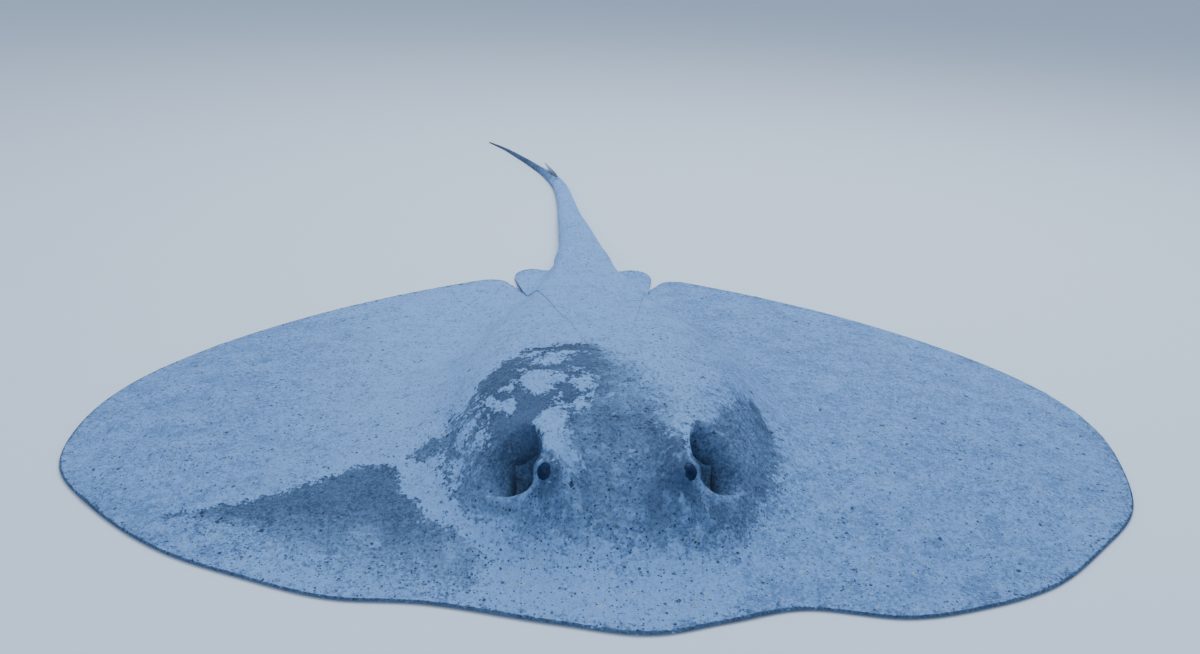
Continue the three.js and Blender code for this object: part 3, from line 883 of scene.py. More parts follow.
# %% Tail's line and sizes
TAIL_PATH = [
    (0, 850), (0, 930), (-5, 1060), (-13, 1190), (-18, 1310), (-28, 1440), (-50, 1540),
    (-78, 1625), (-114, 1722), (-150, 1812), (-190, 1890),
]
TAIL_HALF_WIDTH = [
    (850, 50), (930, 41), (1010, 34.5), (1100, 29), (1200, 22.5), (1310, 18), (1400, 16),
    (1490, 13.5), (1580, 10), (1680, 7), (1800, 4.4), (1890, 1.6),
]
TAIL_HEIGHT = [
    (850, 47), (930, 41), (1010, 36), (1100, 31), (1200, 25.5), (1310, 21.5), (1400, 19.5),
    (1490, 17), (1580, 13), (1680, 9.5), (1800, 6.2), (1890, 2.4),
]
TAIL_FLAT = 0.55
TAIL_STEP = 2.6
ROOT_BLEND = 80

tail_line = curve_through(np.array(TAIL_PATH, float), 400, closed=False)
tail_walk = np.concatenate([[0], np.cumsum(np.linalg.norm(np.diff(tail_line, axis=0), axis=1))])
tail_length = tail_walk[-1]
tail_at = np.arange(0, tail_length - 0.5 * TAIL_STEP, TAIL_STEP)
tail_middle = np.stack([np.interp(tail_at, tail_walk, tail_line[:, k]) for k in (0, 1)], axis=1)
heading = np.gradient(tail_middle, axis=0)
heading /= np.linalg.norm(heading, axis=1)[:, None]
tail_across = np.stack([heading[:, 1], -heading[:, 0]], axis=1)
print("tail:", round(tail_length), "mm long,", len(tail_at), "rings")

# %% The loop the tail grows from
root_spokes = np.flatnonzero(at_tail)
first, last = root_spokes[0], root_spokes[-1]
top_row = back[-1, first : last + 1]
sole_row = belly[-1, first : last + 1][::-1]
root_loop = np.vstack([top_row, rim[:, last], sole_row, rim[::-1, first]])
arch_start = len(top_row) + len(RIM_TURNS)
arch_end = arch_start + len(sole_row)
on_sole = np.zeros(len(root_loop), bool)
on_sole[arch_start:arch_end] = True


def shares_along(points):
    """Each point's share of the way along a line of points."""
    steps = np.linalg.norm(np.diff(points, axis=0), axis=1)
    return np.concatenate([[0], np.cumsum(steps)]) / steps.sum()


loop_count = len(root_loop)
arch_order = (np.arange(loop_count - len(sole_row)) + arch_end) % loop_count
arch_share = np.empty(loop_count)
arch_share[arch_order] = shares_along(root_loop[arch_order][:, [0, 2]])
arch_share[on_sole] = shares_along(root_loop[on_sole][:, [0, 2]])
arch_direction = np.sign(root_loop[arch_order[-1], 0] - root_loop[arch_order[0], 0])
print("loop:", loop_count, "points, the sole has", int(on_sole.sum()))


# %% Shape of the tail's rings
def section(half_width, height):
    """Across and up for each loop point of a tail this wide and high."""
    lowest = math.asin(-TAIL_FLAT)
    angle = np.linspace(math.pi - lowest, lowest, 181)
    arch = np.column_stack([
        np.cos(angle) * half_width,
        (np.sin(angle) + TAIL_FLAT) / (1 + TAIL_FLAT) * height,
    ])
    arch_at = shares_along(arch)
    arch_x = np.interp(arch_share, arch_at, arch[:, 0]) * arch_direction
    arch_z = np.interp(arch_share, arch_at, arch[:, 1])
    corner = math.cos(lowest) * half_width
    sole_x = corner * (1 - 2 * arch_share) * arch_direction
    return np.where(on_sole, sole_x, arch_x), np.where(on_sole, 0.0, arch_z)


TAIL_LUMPS = (0.5, 26, 31, 3)
TAIL_GRAIN = (0.12, 6, 32, 2)
THORNS = [1228, 1262, 1291, 1322, 1347, 1376, 1398, 1420, 1438]
THORN_RISE = 2.0
THORN_REACH = 4.2
KEEL_RISE = 1.3
STING_SHEATH = {"y": 1472, "half_width": 9, "half_length": 26, "rise": 2.4}


def tail_relief(across, y, wide):
    """Small forms on top of the tail: low thorns, the sting's sheath, a keel behind it."""
    relief = np.zeros_like(across)
    for k, thorn_y in enumerate(THORNS):
        apart = np.hypot(across - 1.3 * (-1) ** k, 0.7 * (y - thorn_y))
        relief += THORN_RISE * np.maximum(1 - apart / THORN_REACH, 0) ** 1.4
    sheath_across = across / STING_SHEATH["half_width"]
    sheath_down = (y - STING_SHEATH["y"]) / STING_SHEATH["half_length"]
    relief += STING_SHEATH["rise"] * hump(sheath_across) * hump(sheath_down)
    keel = smooth(1580, 1640, y) * (1 - smooth(1740, 1800, y))
    relief += KEEL_RISE * keel * hump(across / (0.2 * wide))
    return relief


tail_rings = []
for at, middle, over in zip(tail_at[1:], tail_middle[1:], tail_across[1:]):
    y = middle[1]
    wide = along(TAIL_HALF_WIDTH, y) - SKIN_INSET * smooth(1.5, 8, along(TAIL_HALF_WIDTH, y))
    tall = along(TAIL_HEIGHT, y) - SKIN_INSET * smooth(2, 8, along(TAIL_HEIGHT, y))
    across, up = section(wide, tall)
    share = smooth(0, ROOT_BLEND, at)
    ring = np.column_stack([middle + across[:, None] * over, up + 0.1])
    grown = root_loop + (0, at, 0)
    ring = ring * share + grown * (1 - share)
    ring[~on_sole, 2] += (tail_relief(across, y, wide) * up / tall)[~on_sole]
    tail_rings.append(ring)
tail = np.array(tail_rings)
tail_lumps = lumps(tail, *TAIL_LUMPS) + lumps(tail, *TAIL_GRAIN)
tail[..., 2] += tail_lumps * np.minimum(tail[..., 2] / 20, 1) * ~on_sole
tail_tip = np.append(tail_line[-1], 1.2)
print("tail rings:", tail.shape[:2], "highest", round(float(tail[..., 2].max()), 1), "mm")

# %% [markdown]
# ## One skin
#
# The back, the rim and the belly share the same spokes, so their points form one tall
# grid that closes on itself. The tail's rings form a second grid that starts on the
# first one's points. Each square of a grid is one face. Points that no face uses, where
# the tail leaves the rim open, are dropped.

# %% Join the grids
rows = np.concatenate([back, rim, belly[::-1]])
row_count = len(rows)
grid = np.arange(row_count * SPOKES).reshape(row_count, SPOKES)
first_rim = len(back) - 1
last_rim = first_rim + len(RIM_TURNS) + 1


def squares(lattice):
    """Faces between neighbouring rows of a lattice of point numbers, closed sideways."""
    beside = np.roll(lattice, -1, axis=1)
    return np.stack([lattice[:-1], lattice[1:], beside[1:], beside[:-1]], axis=-1)


disc_faces = squares(grid)
keep = np.ones(disc_faces.shape[:2], bool)
keep[first_rim:last_rim, first:last] = False
top_middle = row_count * SPOKES
sole_middle = top_middle + 1
tail_grid = sole_middle + 1 + np.arange(tail.shape[0] * loop_count).reshape(-1, loop_count)
tip_number = tail_grid[-1, -1] + 1

rim_numbers = grid[first_rim + 1 : last_rim]
root_numbers = np.concatenate([
    grid[first_rim, first : last + 1],
    rim_numbers[:, last],
    grid[last_rim, first : last + 1][::-1],
    rim_numbers[::-1, first],
])
tail_faces = squares(np.vstack([root_numbers, tail_grid]))
hub_heights = [back[0, :, 2].mean(), belly[0, :, 2].mean()]
hub_points = [[*HUB, hub_heights[0]], [*HUB, hub_heights[1]]]
skin_points = np.vstack([rows.reshape(-1, 3), hub_points, tail.reshape(-1, 3), [tail_tip]])


def fan(loop, middle, outward_last):
    beside = np.roll(loop, -1)
    middle = np.full(len(loop), middle)
    return np.stack([loop, middle, beside] if outward_last else [middle, loop, beside], axis=1)


print("grid rows:", row_count, "rim rows:", first_rim, "to", last_rim)

# %% [markdown]
# ## A flat map of the skin
#
# A picture can be baked onto the skin only if every face has its own place on a flat map.
# The back, the underside and the tail are laid out side by side, and the head is drawn
# larger than the fins because it has the finest detail.

# %% Unfold the skin for its picture map
UV_POWER = 0.78
UV_TOP = {"scale": 0.62, "middle": (0.405, 0.47)}
UV_SOLE = {"scale": 0.27, "middle": (0.185, 0.065)}
UV_TAIL = {"scale": 0.62, "corner": (0.84, 0.30)}


def unfolded(plan, layout, power):
    """A flat map place for each plan point, with the head drawn larger than the fins."""
    offset = (plan - HUB) * MM
    away = np.linalg.norm(offset, axis=-1, keepdims=True)
    widest = DISC_HALF * MM
    stretch = np.where(away > 0, (np.maximum(away, 1e-6) / widest) ** (power - 1), 1)
    return offset * stretch * layout["scale"] + layout["middle"]


rim_plan = np.array([HUB + (spoke_reach + 2 * k)[:, None] * spoke_way for k in range(6)])
top_plan = np.concatenate([back_plan, rim_plan])
top_map = unfolded(top_plan, UV_TOP, UV_POWER)
sole_map = unfolded(belly_plan[::-1], UV_SOLE, 1.0)
print("top map:", top_map.reshape(-1, 2).min(0).round(3), top_map.reshape(-1, 2).max(0).round(3))
print("sole map:", sole_map.reshape(-1, 2).min(0).round(3), sole_map.reshape(-1, 2).max(0).round(3))


def corner_map(lattice_map, closing=None):
    """The map places of each square's four corners."""
    beside = np.roll(lattice_map, -1, axis=1)
    if closing is not None:
        beside[:, -1] = closing
    return np.stack([lattice_map[:-1], lattice_map[1:], beside[1:], beside[:-1]], axis=2)


loop_share = np.arange(loop_count) / loop_count
loop_reach = np.linalg.norm(np.diff(np.concatenate([tail, tail[:, :1]], 1), axis=1), axis=2)
girth = np.concatenate([[1.0], loop_reach.sum(axis=1)])
girth[0] = girth[1]
tail_along = np.concatenate([[0], tail_at[1:]]) * MM * UV_TAIL["scale"]
tail_map = np.stack([
    UV_TAIL["corner"][0] + np.outer(girth * MM * UV_TAIL["scale"], loop_share),
    UV_TAIL["corner"][1] + np.repeat(tail_along[:, None], loop_count, axis=1),
], axis=-1)
tail_closing = np.stack([
    UV_TAIL["corner"][0] + girth * MM * UV_TAIL["scale"],
    UV_TAIL["corner"][1] + tail_along,
], axis=-1)
print("tail map ends at", tail_closing.max(0).round(3))

# %% [markdown]
# ## What each point of skin is covered with
#
# Four numbers ride on every point and steer the finish: how far inside the sand it is,
# how much film of dust it carries, partly painted light on the front of the head, how
# white it is as underside, and how dark it is painted: painted shade inside the openings,
# in the creases and along the rim, and the whip's own dark colour. They are worked out
# here, from the shape itself, and the material only draws the grain.

# %% Numbers for the finish
SAND_UNIT = 12
TAIL_SAND = 14
WHIP_BARE_Y = (1610, 1720)
SIDE_BARE_AND_SHADE_Y = (1400, 1520)
WHITE_SOLE_Y = (1000, 1350)
WHIP_DARK_Y = (1500, 1640)


# Painted shade: darker with depth inside each spiracle, darkest at the valve's folded edge and
# lighter on the valve itself, and darker along the creases.
def spiracle_painted_shade(x, y):
    painted_shade_and_whip_dark = np.zeros_like(x)
    for side_sign in (1, -1):
        depth, _ = spiracle_push(x, y, side_sign)
        across, down, away = spiracle_place(x, y, side_sign)
        fold = past_fold(across, down)
        shade = 0.5 * hump((fold + 0.07) / 0.07) - 0.3 * smooth(-0.03, 0.05, fold)
        shade = shade * (1 - smooth(0.8, 1.0, away))
        shade += 0.95 * smooth(0.25, 1.0, depth / SPIRACLE["depth"])
        painted_shade_and_whip_dark = np.maximum(painted_shade_and_whip_dark, np.clip(shade, 0, 1))
    return np.maximum(painted_shade_and_whip_dark, 0.6 * smooth(0.5, 1.8, -creases(x, y)))


tail_y = tail[..., 1]
tail_low = 1 - smooth(0.1, 0.4, tail[..., 2] / np.maximum(tail[..., 2].max(1, keepdims=True), 1))
tail_cloud = cloud(tail, 40, 41, 3)
tail_side = ((tail[..., :2] - tail_middle[1:, None]) * tail_across[1:, None]).sum(-1)
tail_side /= np.abs(tail_side).max(axis=1, keepdims=True)
# The low sides of the tail and a strip on the ray's right side before the sting are left bare: bare
# skin, and also painted shade on the sides turned away from the lamp.
tail_edge = TAIL_SAND - 26 * smooth(*WHIP_BARE_Y, tail_y) - 22 * tail_low + 5 * tail_cloud
tail_edge -= 22 * smooth(0.15, -0.35, tail_side) * smooth(*SIDE_BARE_AND_SHADE_Y, tail_y)
tail_film = np.clip(0.55 - 0.35 * smooth(1550, 1700, tail_y) + 0.15 * tail_cloud, 0, 1)
tail_white = tail_low * (1 - smooth(*WHITE_SOLE_Y, tail_y)) * on_sole
tail_gloom = 0.55 * smooth(*WHIP_DARK_Y, tail_y)

rim_ones = np.ones(rim.shape[:2])
rim_white = np.array([0, 0, 0.15, 0.5, 0.8])[:, None] * rim_ones
belly_white = smooth(1.0, 0.93, belly_reach) * (1 - 0.25 * smooth(0.9, 1, belly_reach))
belly_shade = np.clip(belly_opening_shade, 0, 1)


def for_all(on_back, on_rim, on_belly, on_tail):
    """One number for every skin point, in the order of the points."""
    parts = [on_back.ravel(), on_rim.ravel(), on_belly[::-1].ravel()]
    hubs = [on_back[0].mean(), on_belly[0].mean()]
    return np.concatenate([*parts, hubs, on_tail.ravel(), [on_tail[-1].mean()]])


blurred_edge = back_edge * (1 - 0.6 * back_soft)
edge_everywhere = for_all(blurred_edge, -6 * rim_ones, -30 * np.ones_like(belly_x), tail_edge)
# The fourth number is painted shade in the spiracles, creases, belly openings and along the rim, and
# the whip's own dark colour.
skin_numbers = {
    "sand": np.clip(edge_everywhere / SAND_UNIT, -2, 2),
    "film": for_all(back_dust_and_light, 0.3 * rim_ones, np.zeros_like(belly_x), tail_film),
    "white": for_all(np.zeros_like(back_x), rim_white, belly_white, tail_white),
    "painted_shade_and_whip_dark": for_all(spiracle_painted_shade(back_x, back_y), 0.2 * rim_ones, belly_shade, tail_gloom),
}
print({name: round(float(values.mean()), 2) for name, values in skin_numbers.items()})

# %% Make the skin
disc_quads = disc_faces[keep]
top_faces = fan(grid[0], top_middle, outward_last=False)
sole_faces = fan(grid[-1], sole_middle, outward_last=True)
tip_faces = fan(tail_grid[-1], tip_number, outward_last=True)
tail_quads = tail_faces.reshape(-1, 4)

top_corners = corner_map(top_map)
sole_corners = corner_map(sole_map)
disc_corners = np.concatenate([top_corners, sole_corners])[keep]
tail_corners = corner_map(tail_map, tail_closing).reshape(-1, 4, 2)


def fan_map(loop_map, middle, outward_last):
    beside = np.roll(loop_map, -1, axis=0)
    middle = np.broadcast_to(middle, loop_map.shape)
    return np.stack([loop_map, middle, beside] if outward_last else [middle, loop_map, beside], 1)


tip_map = (UV_TAIL["corner"][0] + 0.001, tail_closing[-1, 1] + 0.003)
skin_map = np.concatenate([
    disc_corners.reshape(-1, 2),
    tail_corners.reshape(-1, 2),
    fan_map(top_map[0], UV_TOP["middle"], False).reshape(-1, 2),
    fan_map(sole_map[-1], UV_SOLE["middle"], True).reshape(-1, 2),
    fan_map(tail_map[-1], tip_map, True).reshape(-1, 2),
])
quads = np.concatenate([disc_quads, tail_quads])
triangles = np.concatenate([top_faces, sole_faces, tip_faces])

used = np.zeros(len(skin_points), bool)
used[quads] = True
used[triangles] = True
renumber = np.cumsum(used) - 1


def make_mesh(name, points, faces, numbers=None, picture_map=None):
    """A smooth-shaded piece from layout points, with numbers on its points."""
    mesh = bpy.data.meshes.new(name)
    mesh.from_pydata(in_metres(points), [], faces)
    for title, values in (numbers or {}).items():
        layer = mesh.attributes.new(title, "FLOAT", "POINT")
        layer.data.foreach_set("value", np.asarray(values, np.float32))
    if picture_map is not None:
        layer = mesh.uv_layers.new(name="OFBake")
        layer.data.foreach_set("uv", np.asarray(picture_map, np.float32).ravel())
    mesh.shade_smooth()
    piece = bpy.data.objects.new(name, mesh)
    bpy.context.scene.collection.objects.link(piece)
    return piece


skin = make_mesh(
    "skin",
    skin_points[used],
    renumber[quads].tolist() + renumber[triangles].tolist(),
    {name: values[used] for name, values in skin_numbers.items()},
    skin_map,
)
FLESH = [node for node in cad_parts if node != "sting" and not node.startswith("eye")]
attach(skin, "root")
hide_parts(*FLESH)
all_triangles = np.vstack([triangles, quads[:, [0, 1, 2]], quads[:, [0, 2, 3]]])
corner_a, corner_b, corner_c = (in_metres(skin_points)[all_triangles[:, k]] for k in range(3))
volume = np.einsum("ij,ij->", corner_a, np.cross(corner_b, corner_c)) / 6
print("skin:", len(skin.data.polygons), "faces,", round(volume * 1000, 2), "litres")

# %% [markdown]
# ## The eyeballs
#
# Each eyeball is a ball drawn in rings round the line of sight, so that the rings are
# closest where the eye shows. The cornea stands a little proud of the ball. Each point
# keeps how far it lies across and up from the line of sight, and the material draws the
# iris and the pupil from those two numbers.

# %% Eyeballs
EYE_RINGS = 56
EYE_SPOKES = 72
CORNEA = 0.035
BALL_INSIDE = BALL_RADIUS - 0.3


def eyeball(name, side_sign, node):
    ball = in_layout(eye_middles[side_sign])
    out, over, up = gaze_axes(side_sign)
    tilt = np.linspace(0, 1, EYE_RINGS + 1)[1:-1] ** 1.25 * math.pi
    turn_round = np.arange(EYE_SPOKES) / EYE_SPOKES * 2 * math.pi
    radius = BALL_INSIDE * (1 + CORNEA * hump(tilt / 0.62))[:, None, None]
    circle = np.cos(turn_round)[:, None] * over + np.sin(turn_round)[:, None] * up
    ways = np.cos(tilt)[:, None, None] * out + np.sin(tilt)[:, None, None] * circle
    front = BALL_INSIDE * (1 + CORNEA)
    points = np.vstack([
        ball + (ways * radius).reshape(-1, 3),
        [ball + front * out, ball - BALL_INSIDE * out],
    ])
    order = np.arange(len(tilt) * EYE_SPOKES).reshape(len(tilt), EYE_SPOKES)
    front_fan = fan(order[0], len(points) - 2, outward_last=False)
    back_fan = fan(order[-1], len(points) - 1, outward_last=True)
    faces = squares(order).reshape(-1, 4).tolist() + front_fan.tolist() + back_fan.tolist()
    toward = (points - ball) / np.linalg.norm(points - ball, axis=1)[:, None]
    behind = np.where(toward @ out < 0, 2.0, 0.0)
    numbers = {"sight_across": toward @ over + behind, "sight_up": toward @ up}
    piece = make_mesh(name, points, faces, numbers)
    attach(piece, "root")
    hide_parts(node)
    return piece


eyeballs = [eyeball("eyeball_left", 1, "eye_left"), eyeball("eyeball_right", -1, "eye_right")]
print("eyeballs:", [len(piece.data.polygons) for piece in eyeballs], "faces each")

# %% [markdown]
# ## The sting
#
# The sting is a blade of hard dentine that lies along the tail and points back. Its
# edges are saws whose teeth point toward its root, its top is rounded with fine grooves
# along it, and its underside has a ridge between two grooves. It is drawn as rows of
# points across the blade, with eight rows for each tooth.

# %% Sting
STING = {"root_y": 1466, "length": 134, "half_width": 5.5, "thick": 6}
STING_LEVEL = {"root": 17.5, "tip": 19.5}
TOOTH_REACH = 0.75
GROOVE_DEPTH = 0.22
TEETH = 36
ROWS_PER_TOOTH = 8
ROUND_BLADE = 36


def sting_half_width(share):
    start = STING["half_width"] * (0.7 + 0.3 * smooth(0, 0.25, share))
    return np.where(share < 0.25, start, STING["half_width"] * (1 - smooth(0.1, 1.25, share) ** 1.7))


root_at = float(np.interp(STING["root_y"], tail_line[:, 1], tail_walk))
root_place = np.array([np.interp(root_at, tail_walk, tail_line[:, k]) for k in (0, 1)])
root_way = np.array([np.interp(root_at, tail_at, heading[:, k]) for k in (0, 1)])
root_over = np.array([root_way[1], -root_way[0]])

blade_share = np.linspace(0, 1, TEETH * ROWS_PER_TOOTH + 1)
half_widths = np.maximum(sting_half_width(blade_share) * 0.9, 0.35)
tooth = 1 - (blade_share * TEETH) % 1
toothed = smooth(0.2, 0.3, blade_share) * smooth(1.0, 0.94, blade_share)
tooth_reach = TOOTH_REACH * toothed * (tooth**1.5 - 0.35) * np.minimum(half_widths / 3, 1)
round_angle = np.arange(ROUND_BLADE) / ROUND_BLADE * 2 * math.pi
edge_share = np.abs(np.cos(round_angle)) ** 14
across_blade = np.cos(round_angle) * half_widths[:, None]
across_blade += np.sign(np.cos(round_angle)) * edge_share * tooth_reach[:, None]
blade_thick = STING["thick"] * 0.46 * (1 - 0.75 * blade_share**1.6)
up_blade = np.sin(round_angle) * np.abs(np.sin(round_angle)) ** 0.15 * blade_thick[:, None]
grooves = GROOVE_DEPTH * hump((np.abs(np.cos(round_angle)) - 0.45) / 0.12)
grooves = grooves * np.sign(np.sin(round_angle))
up_blade -= grooves * np.minimum(blade_thick / 2, 1)[:, None]
climb = STING_LEVEL["root"] + (STING_LEVEL["tip"] - STING_LEVEL["root"]) * blade_share
blade_plan = root_place + (blade_share * STING["length"] * 0.995)[:, None, None] * root_way
blade_plan = blade_plan + across_blade[..., None] * root_over
blade_points = np.concatenate([blade_plan, (climb[:, None] + up_blade)[..., None]], axis=2)
blade_ends = [blade_points[0].mean(0) - (*root_way, 0), blade_points[-1].mean(0)]
blade_order = np.arange(blade_points.shape[0] * ROUND_BLADE).reshape(-1, ROUND_BLADE)
blade_faces = squares(blade_order).reshape(-1, 4).tolist()
blade_count = blade_order.size
blade_faces += fan(blade_order[0], blade_count, outward_last=False).tolist()
blade_faces += fan(blade_order[-1], blade_count + 1, outward_last=True).tolist()
sting = make_mesh(
    "sting_blade",
    np.vstack([blade_points.reshape(-1, 3), blade_ends]),
    blade_faces,
    {"root": np.append(np.repeat(1 - blade_share, ROUND_BLADE), [1, 0])},
)
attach(sting, "root")
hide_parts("sting")
print("sting:", len(sting.data.polygons), "faces")

# %% [markdown]
# ## Building finishes
#
# A material is a small graph of nodes. Writing each node out takes many lines, so a
# helper adds a node, joins its inputs to numbers or to other nodes, and returns its
# output. With it a finish reads like a recipe. All patterns are placed by the object's
# own coordinates in metres, so a scale of 500 means lumps of about two millimetres.

# %% Recipe helper
class Finish:
    """A material in the making. Each call adds a node and returns what it puts out."""

    def __init__(self, name):
        self.material = bpy.data.materials.new(name)
        self.material.use_nodes = True
        self.tree = self.material.node_tree
        self.shader = self.tree.nodes["Principled BSDF"]
        self.place = self.node("ShaderNodeTexCoord").outputs["Object"]

    def join(self, value, socket):
        if isinstance(value, bpy.types.NodeSocket):
            self.tree.links.new(value, socket)
        else:
            socket.default_value = value

    def node(self, kind, inputs=None, **settings):
        made = self.tree.nodes.new(kind)
        for name, value in settings.items():
            setattr(made, name, value)
        for socket, value in (inputs or {}).items():
            self.join(value, made.inputs[socket])
        return made

    def moved(self, shift):
        moving = {0: self.place, 1: (shift, shift, shift)}
        return self.node("ShaderNodeVectorMath", moving).outputs[0]

    def noise(self, scale, detail=3.0, roughness=0.55, shift=0.0):
        inputs = {"Vector": self.moved(shift), "Scale": scale, "Detail": detail}
        inputs["Roughness"] = roughness
        return self.node("ShaderNodeTexNoise", inputs).outputs["Fac"]

    def grains(self, scale, shift=0.0):
        """Distance to the nearest grain's middle, and two random numbers for each grain."""
        made = self.node("ShaderNodeTexVoronoi", {"Vector": self.moved(shift), "Scale": scale})
        red, green, _ = self.node("ShaderNodeSeparateColor", {"Color": made.outputs["Color"]}).outputs
        return made.outputs["Distance"], red, green

    def number(self, name):
        return self.node("ShaderNodeAttribute", attribute_name=name).outputs["Fac"]

    def work(self, operation, first, second=0.0):
        return self.node("ShaderNodeMath", {0: first, 1: second}, operation=operation).outputs[0]

    def total(self, *terms):
        """The sum of terms; each is an output, a number, or an output with its weight."""
        result = None
        for term in terms:
            if isinstance(term, tuple):
                term = self.work("MULTIPLY", *term)
            result = term if result is None else self.work("ADD", result, term)
        return result

    def step(self, value, low, high):
        inputs = {"Value": value, "From Min": low, "From Max": high}
        made = self.node("ShaderNodeMapRange", inputs, interpolation_type="SMOOTHSTEP")
        return made.outputs["Result"]

    def mix(self, share, none, full):
        made = self.node("ShaderNodeMix", data_type="RGBA")
        for index, value in ((0, share), (6, none), (7, full)):
            if isinstance(value, tuple):
                value = (*value, 1)
            self.join(value, made.inputs[index])
        return made.outputs[2]

    def blend_numbers(self, share, none, full):
        return self.node("ShaderNodeMix", {0: share, 2: none, 3: full}).outputs[0]

    def bump(self, height, millimetres, under=None):
        inputs = {"Height": height, "Distance": millimetres * MM, "Strength": 1.0}
        if under is not None:
            inputs["Normal"] = under
        return self.node("ShaderNodeBump", inputs).outputs["Normal"]

    def finish(self, colour, roughness, normal):
        self.join(colour, self.shader.inputs["Base Color"])
        self.join(roughness, self.shader.inputs["Roughness"])
        self.join(normal, self.shader.inputs["Normal"])
        return self.material


print("the recipe helper is ready")

# %% [markdown]
# ## The skin's finish
#
# Bare skin is a dark slate, mottled at the size of a hand and again at the size of a
# fingertip, and slightly glossy under its slime. The underside is white. Sand is pale,
# dry-looking and rough, with darker and lighter grains and a few bits of shell. The
# edge of the sand is broken up by noise, and the film of dust is sand seen through a
# speckle: where there is more film, more of the speckles join. Each size of crumb is
# given by its scale, its radius and how rare it is.

# %% Skin colours
look = Finish("slate_skin_and_sand")
SKIN_DARK = (0.019, 0.045, 0.110)
SKIN_LIGHT = (0.056, 0.112, 0.235)
# Deep slate used for painted shade in the openings, creases and rim, and for the dark whip.
SHADE_AND_WHIP_COLOUR = (0.005, 0.014, 0.034)
UNDER_WHITE = (0.62, 0.66, 0.70)
UNDER_SHADE = (0.30, 0.33, 0.38)
SAND_PALE = (0.295, 0.535, 0.985)
SAND_SHADE = (0.135, 0.275, 0.590)
GRAIN_LIGHT = (0.46, 0.64, 0.92)
GRAIN_DARK = (0.030, 0.052, 0.10)

sand, film, white, painted_shade_and_whip_dark = (look.number(name) for name in ("sand", "film", "white", "painted_shade_and_whip_dark"))
wide_noise = look.noise(9, 3)
hand_noise = look.noise(32, 4, 0.6, 3.1)
edge_noise = look.noise(75, 2, 0.5, 7.7)
tip_noise = look.noise(140, 4, 0.62, 5.7)
speck_noise = look.noise(300, 2, 0.6, 6.1)
fine_noise = look.noise(620, 3, 0.65, 1.3)
grit_noise = look.noise(1900, 2, 0.7, 8.9)
grain_distance, grain_one, grain_two = look.grains(760, 2.2)

mottle = look.step(look.total((hand_noise, 0.5), (tip_noise, 0.3), (wide_noise, 0.35)), 0.42, 0.74)
skin_colour = look.mix(mottle, SKIN_DARK, SKIN_LIGHT)
skin_colour = look.mix(look.step(fine_noise, 0.52, 0.75), skin_colour, SKIN_LIGHT)
under_patch = look.step(look.total((hand_noise, 0.6), (wide_noise, 0.5)), 0.5, 0.8)
under_colour = look.mix(look.work("MULTIPLY", under_patch, 0.35), UNDER_WHITE, UNDER_SHADE)
skin_colour = look.mix(white, skin_colour, under_colour)
# Painted shade in the openings, creases and along the rim, and the whip's own dark colour, both drawn
# toward deep slate.
skin_colour = look.mix(painted_shade_and_whip_dark, skin_colour, SHADE_AND_WHIP_COLOUR)

# %% Sand colours
along_x = look.node("ShaderNodeSeparateXYZ", {"Vector": look.place}).outputs["X"]
# Painted light: a band of paler sand down the disc, mostly on the ray's right beside the head and
# trunk, the side turned away from the lamp.
painted_light_band = look.work("MULTIPLY", look.step(along_x, -0.42, -0.22), look.step(along_x, 0.16, 0.04))
sand_tone = look.total((hand_noise, 0.35), (tip_noise, 0.4), (speck_noise, 0.45), (fine_noise, 0.2))
sand_tone = look.total(sand_tone, (painted_light_band, 0.08))
sand_shade = look.step(sand_tone, 0.58, 0.82)
sand_colour = look.mix(sand_shade, SAND_SHADE, SAND_PALE)
speckle = look.work("MULTIPLY", look.step(grit_noise, 0.52, 0.72), 0.6)
sand_colour = look.mix(speckle, sand_colour, GRAIN_LIGHT)
small_grain = look.step(grain_distance, 0.42, 0.26)
dark_grain = look.work("MULTIPLY", look.step(grain_one, 0.93, 0.97), small_grain)
light_grain = look.work("MULTIPLY", look.step(grain_two, 0.9, 0.96), small_grain)
sand_colour = look.mix(look.work("MULTIPLY", dark_grain, 0.7), sand_colour, GRAIN_DARK)
sand_colour = look.mix(look.work("MULTIPLY", light_grain, 0.75), sand_colour, GRAIN_LIGHT)

CRUMBS = [(64, 0.18, 0.78), (150, 0.26, 0.68), (330, 0.34, 0.60)]
CRUMB_SHIFT = 4.4
cluster = look.step(look.total((hand_noise, 0.5), (wide_noise, 0.5)), 0.46, 0.62)
crumb_relief = 0.0
for crumb_scale, crumb_radius, crumb_rarity in CRUMBS:
    crumb_distance, crumb_one, crumb_two = look.grains(crumb_scale, CRUMB_SHIFT)
    crumb_shape = look.total(crumb_distance, (tip_noise, 0.4), (fine_noise, 0.4), -0.4)
    crumb = look.step(crumb_shape, crumb_radius, 0.7 * crumb_radius)
    dark_chance = look.total(crumb_one, (cluster, 0.24), -0.06)
    dark_pick = look.step(dark_chance, crumb_rarity + 0.06, crumb_rarity + 0.08)
    shell_pick = look.step(crumb_two, crumb_rarity + 0.04, crumb_rarity + 0.06)
    dark_crumb = look.work("MULTIPLY", dark_pick, crumb)
    shell_bit = look.work("MULTIPLY", shell_pick, crumb)
    sand_colour = look.mix(look.work("MULTIPLY", dark_crumb, 0.85), sand_colour, GRAIN_DARK)
    sand_colour = look.mix(look.work("MULTIPLY", shell_bit, 0.8), sand_colour, GRAIN_LIGHT)
    crumb_relief = look.total(dark_crumb, shell_bit, crumb_relief)
print("crumbs of", len(CRUMBS), "sizes are scattered in the sand")

# %% Where the sand shows
ragged_sand = look.total(sand, (edge_noise, 1.2), (tip_noise, 1.9), (speck_noise, 2.2), -2.65)
sand_mask = look.step(ragged_sand, -0.10, 0.10)
film_noise = look.total((tip_noise, 0.6), (speck_noise, 0.9), (fine_noise, 0.6), (grit_noise, 0.6))
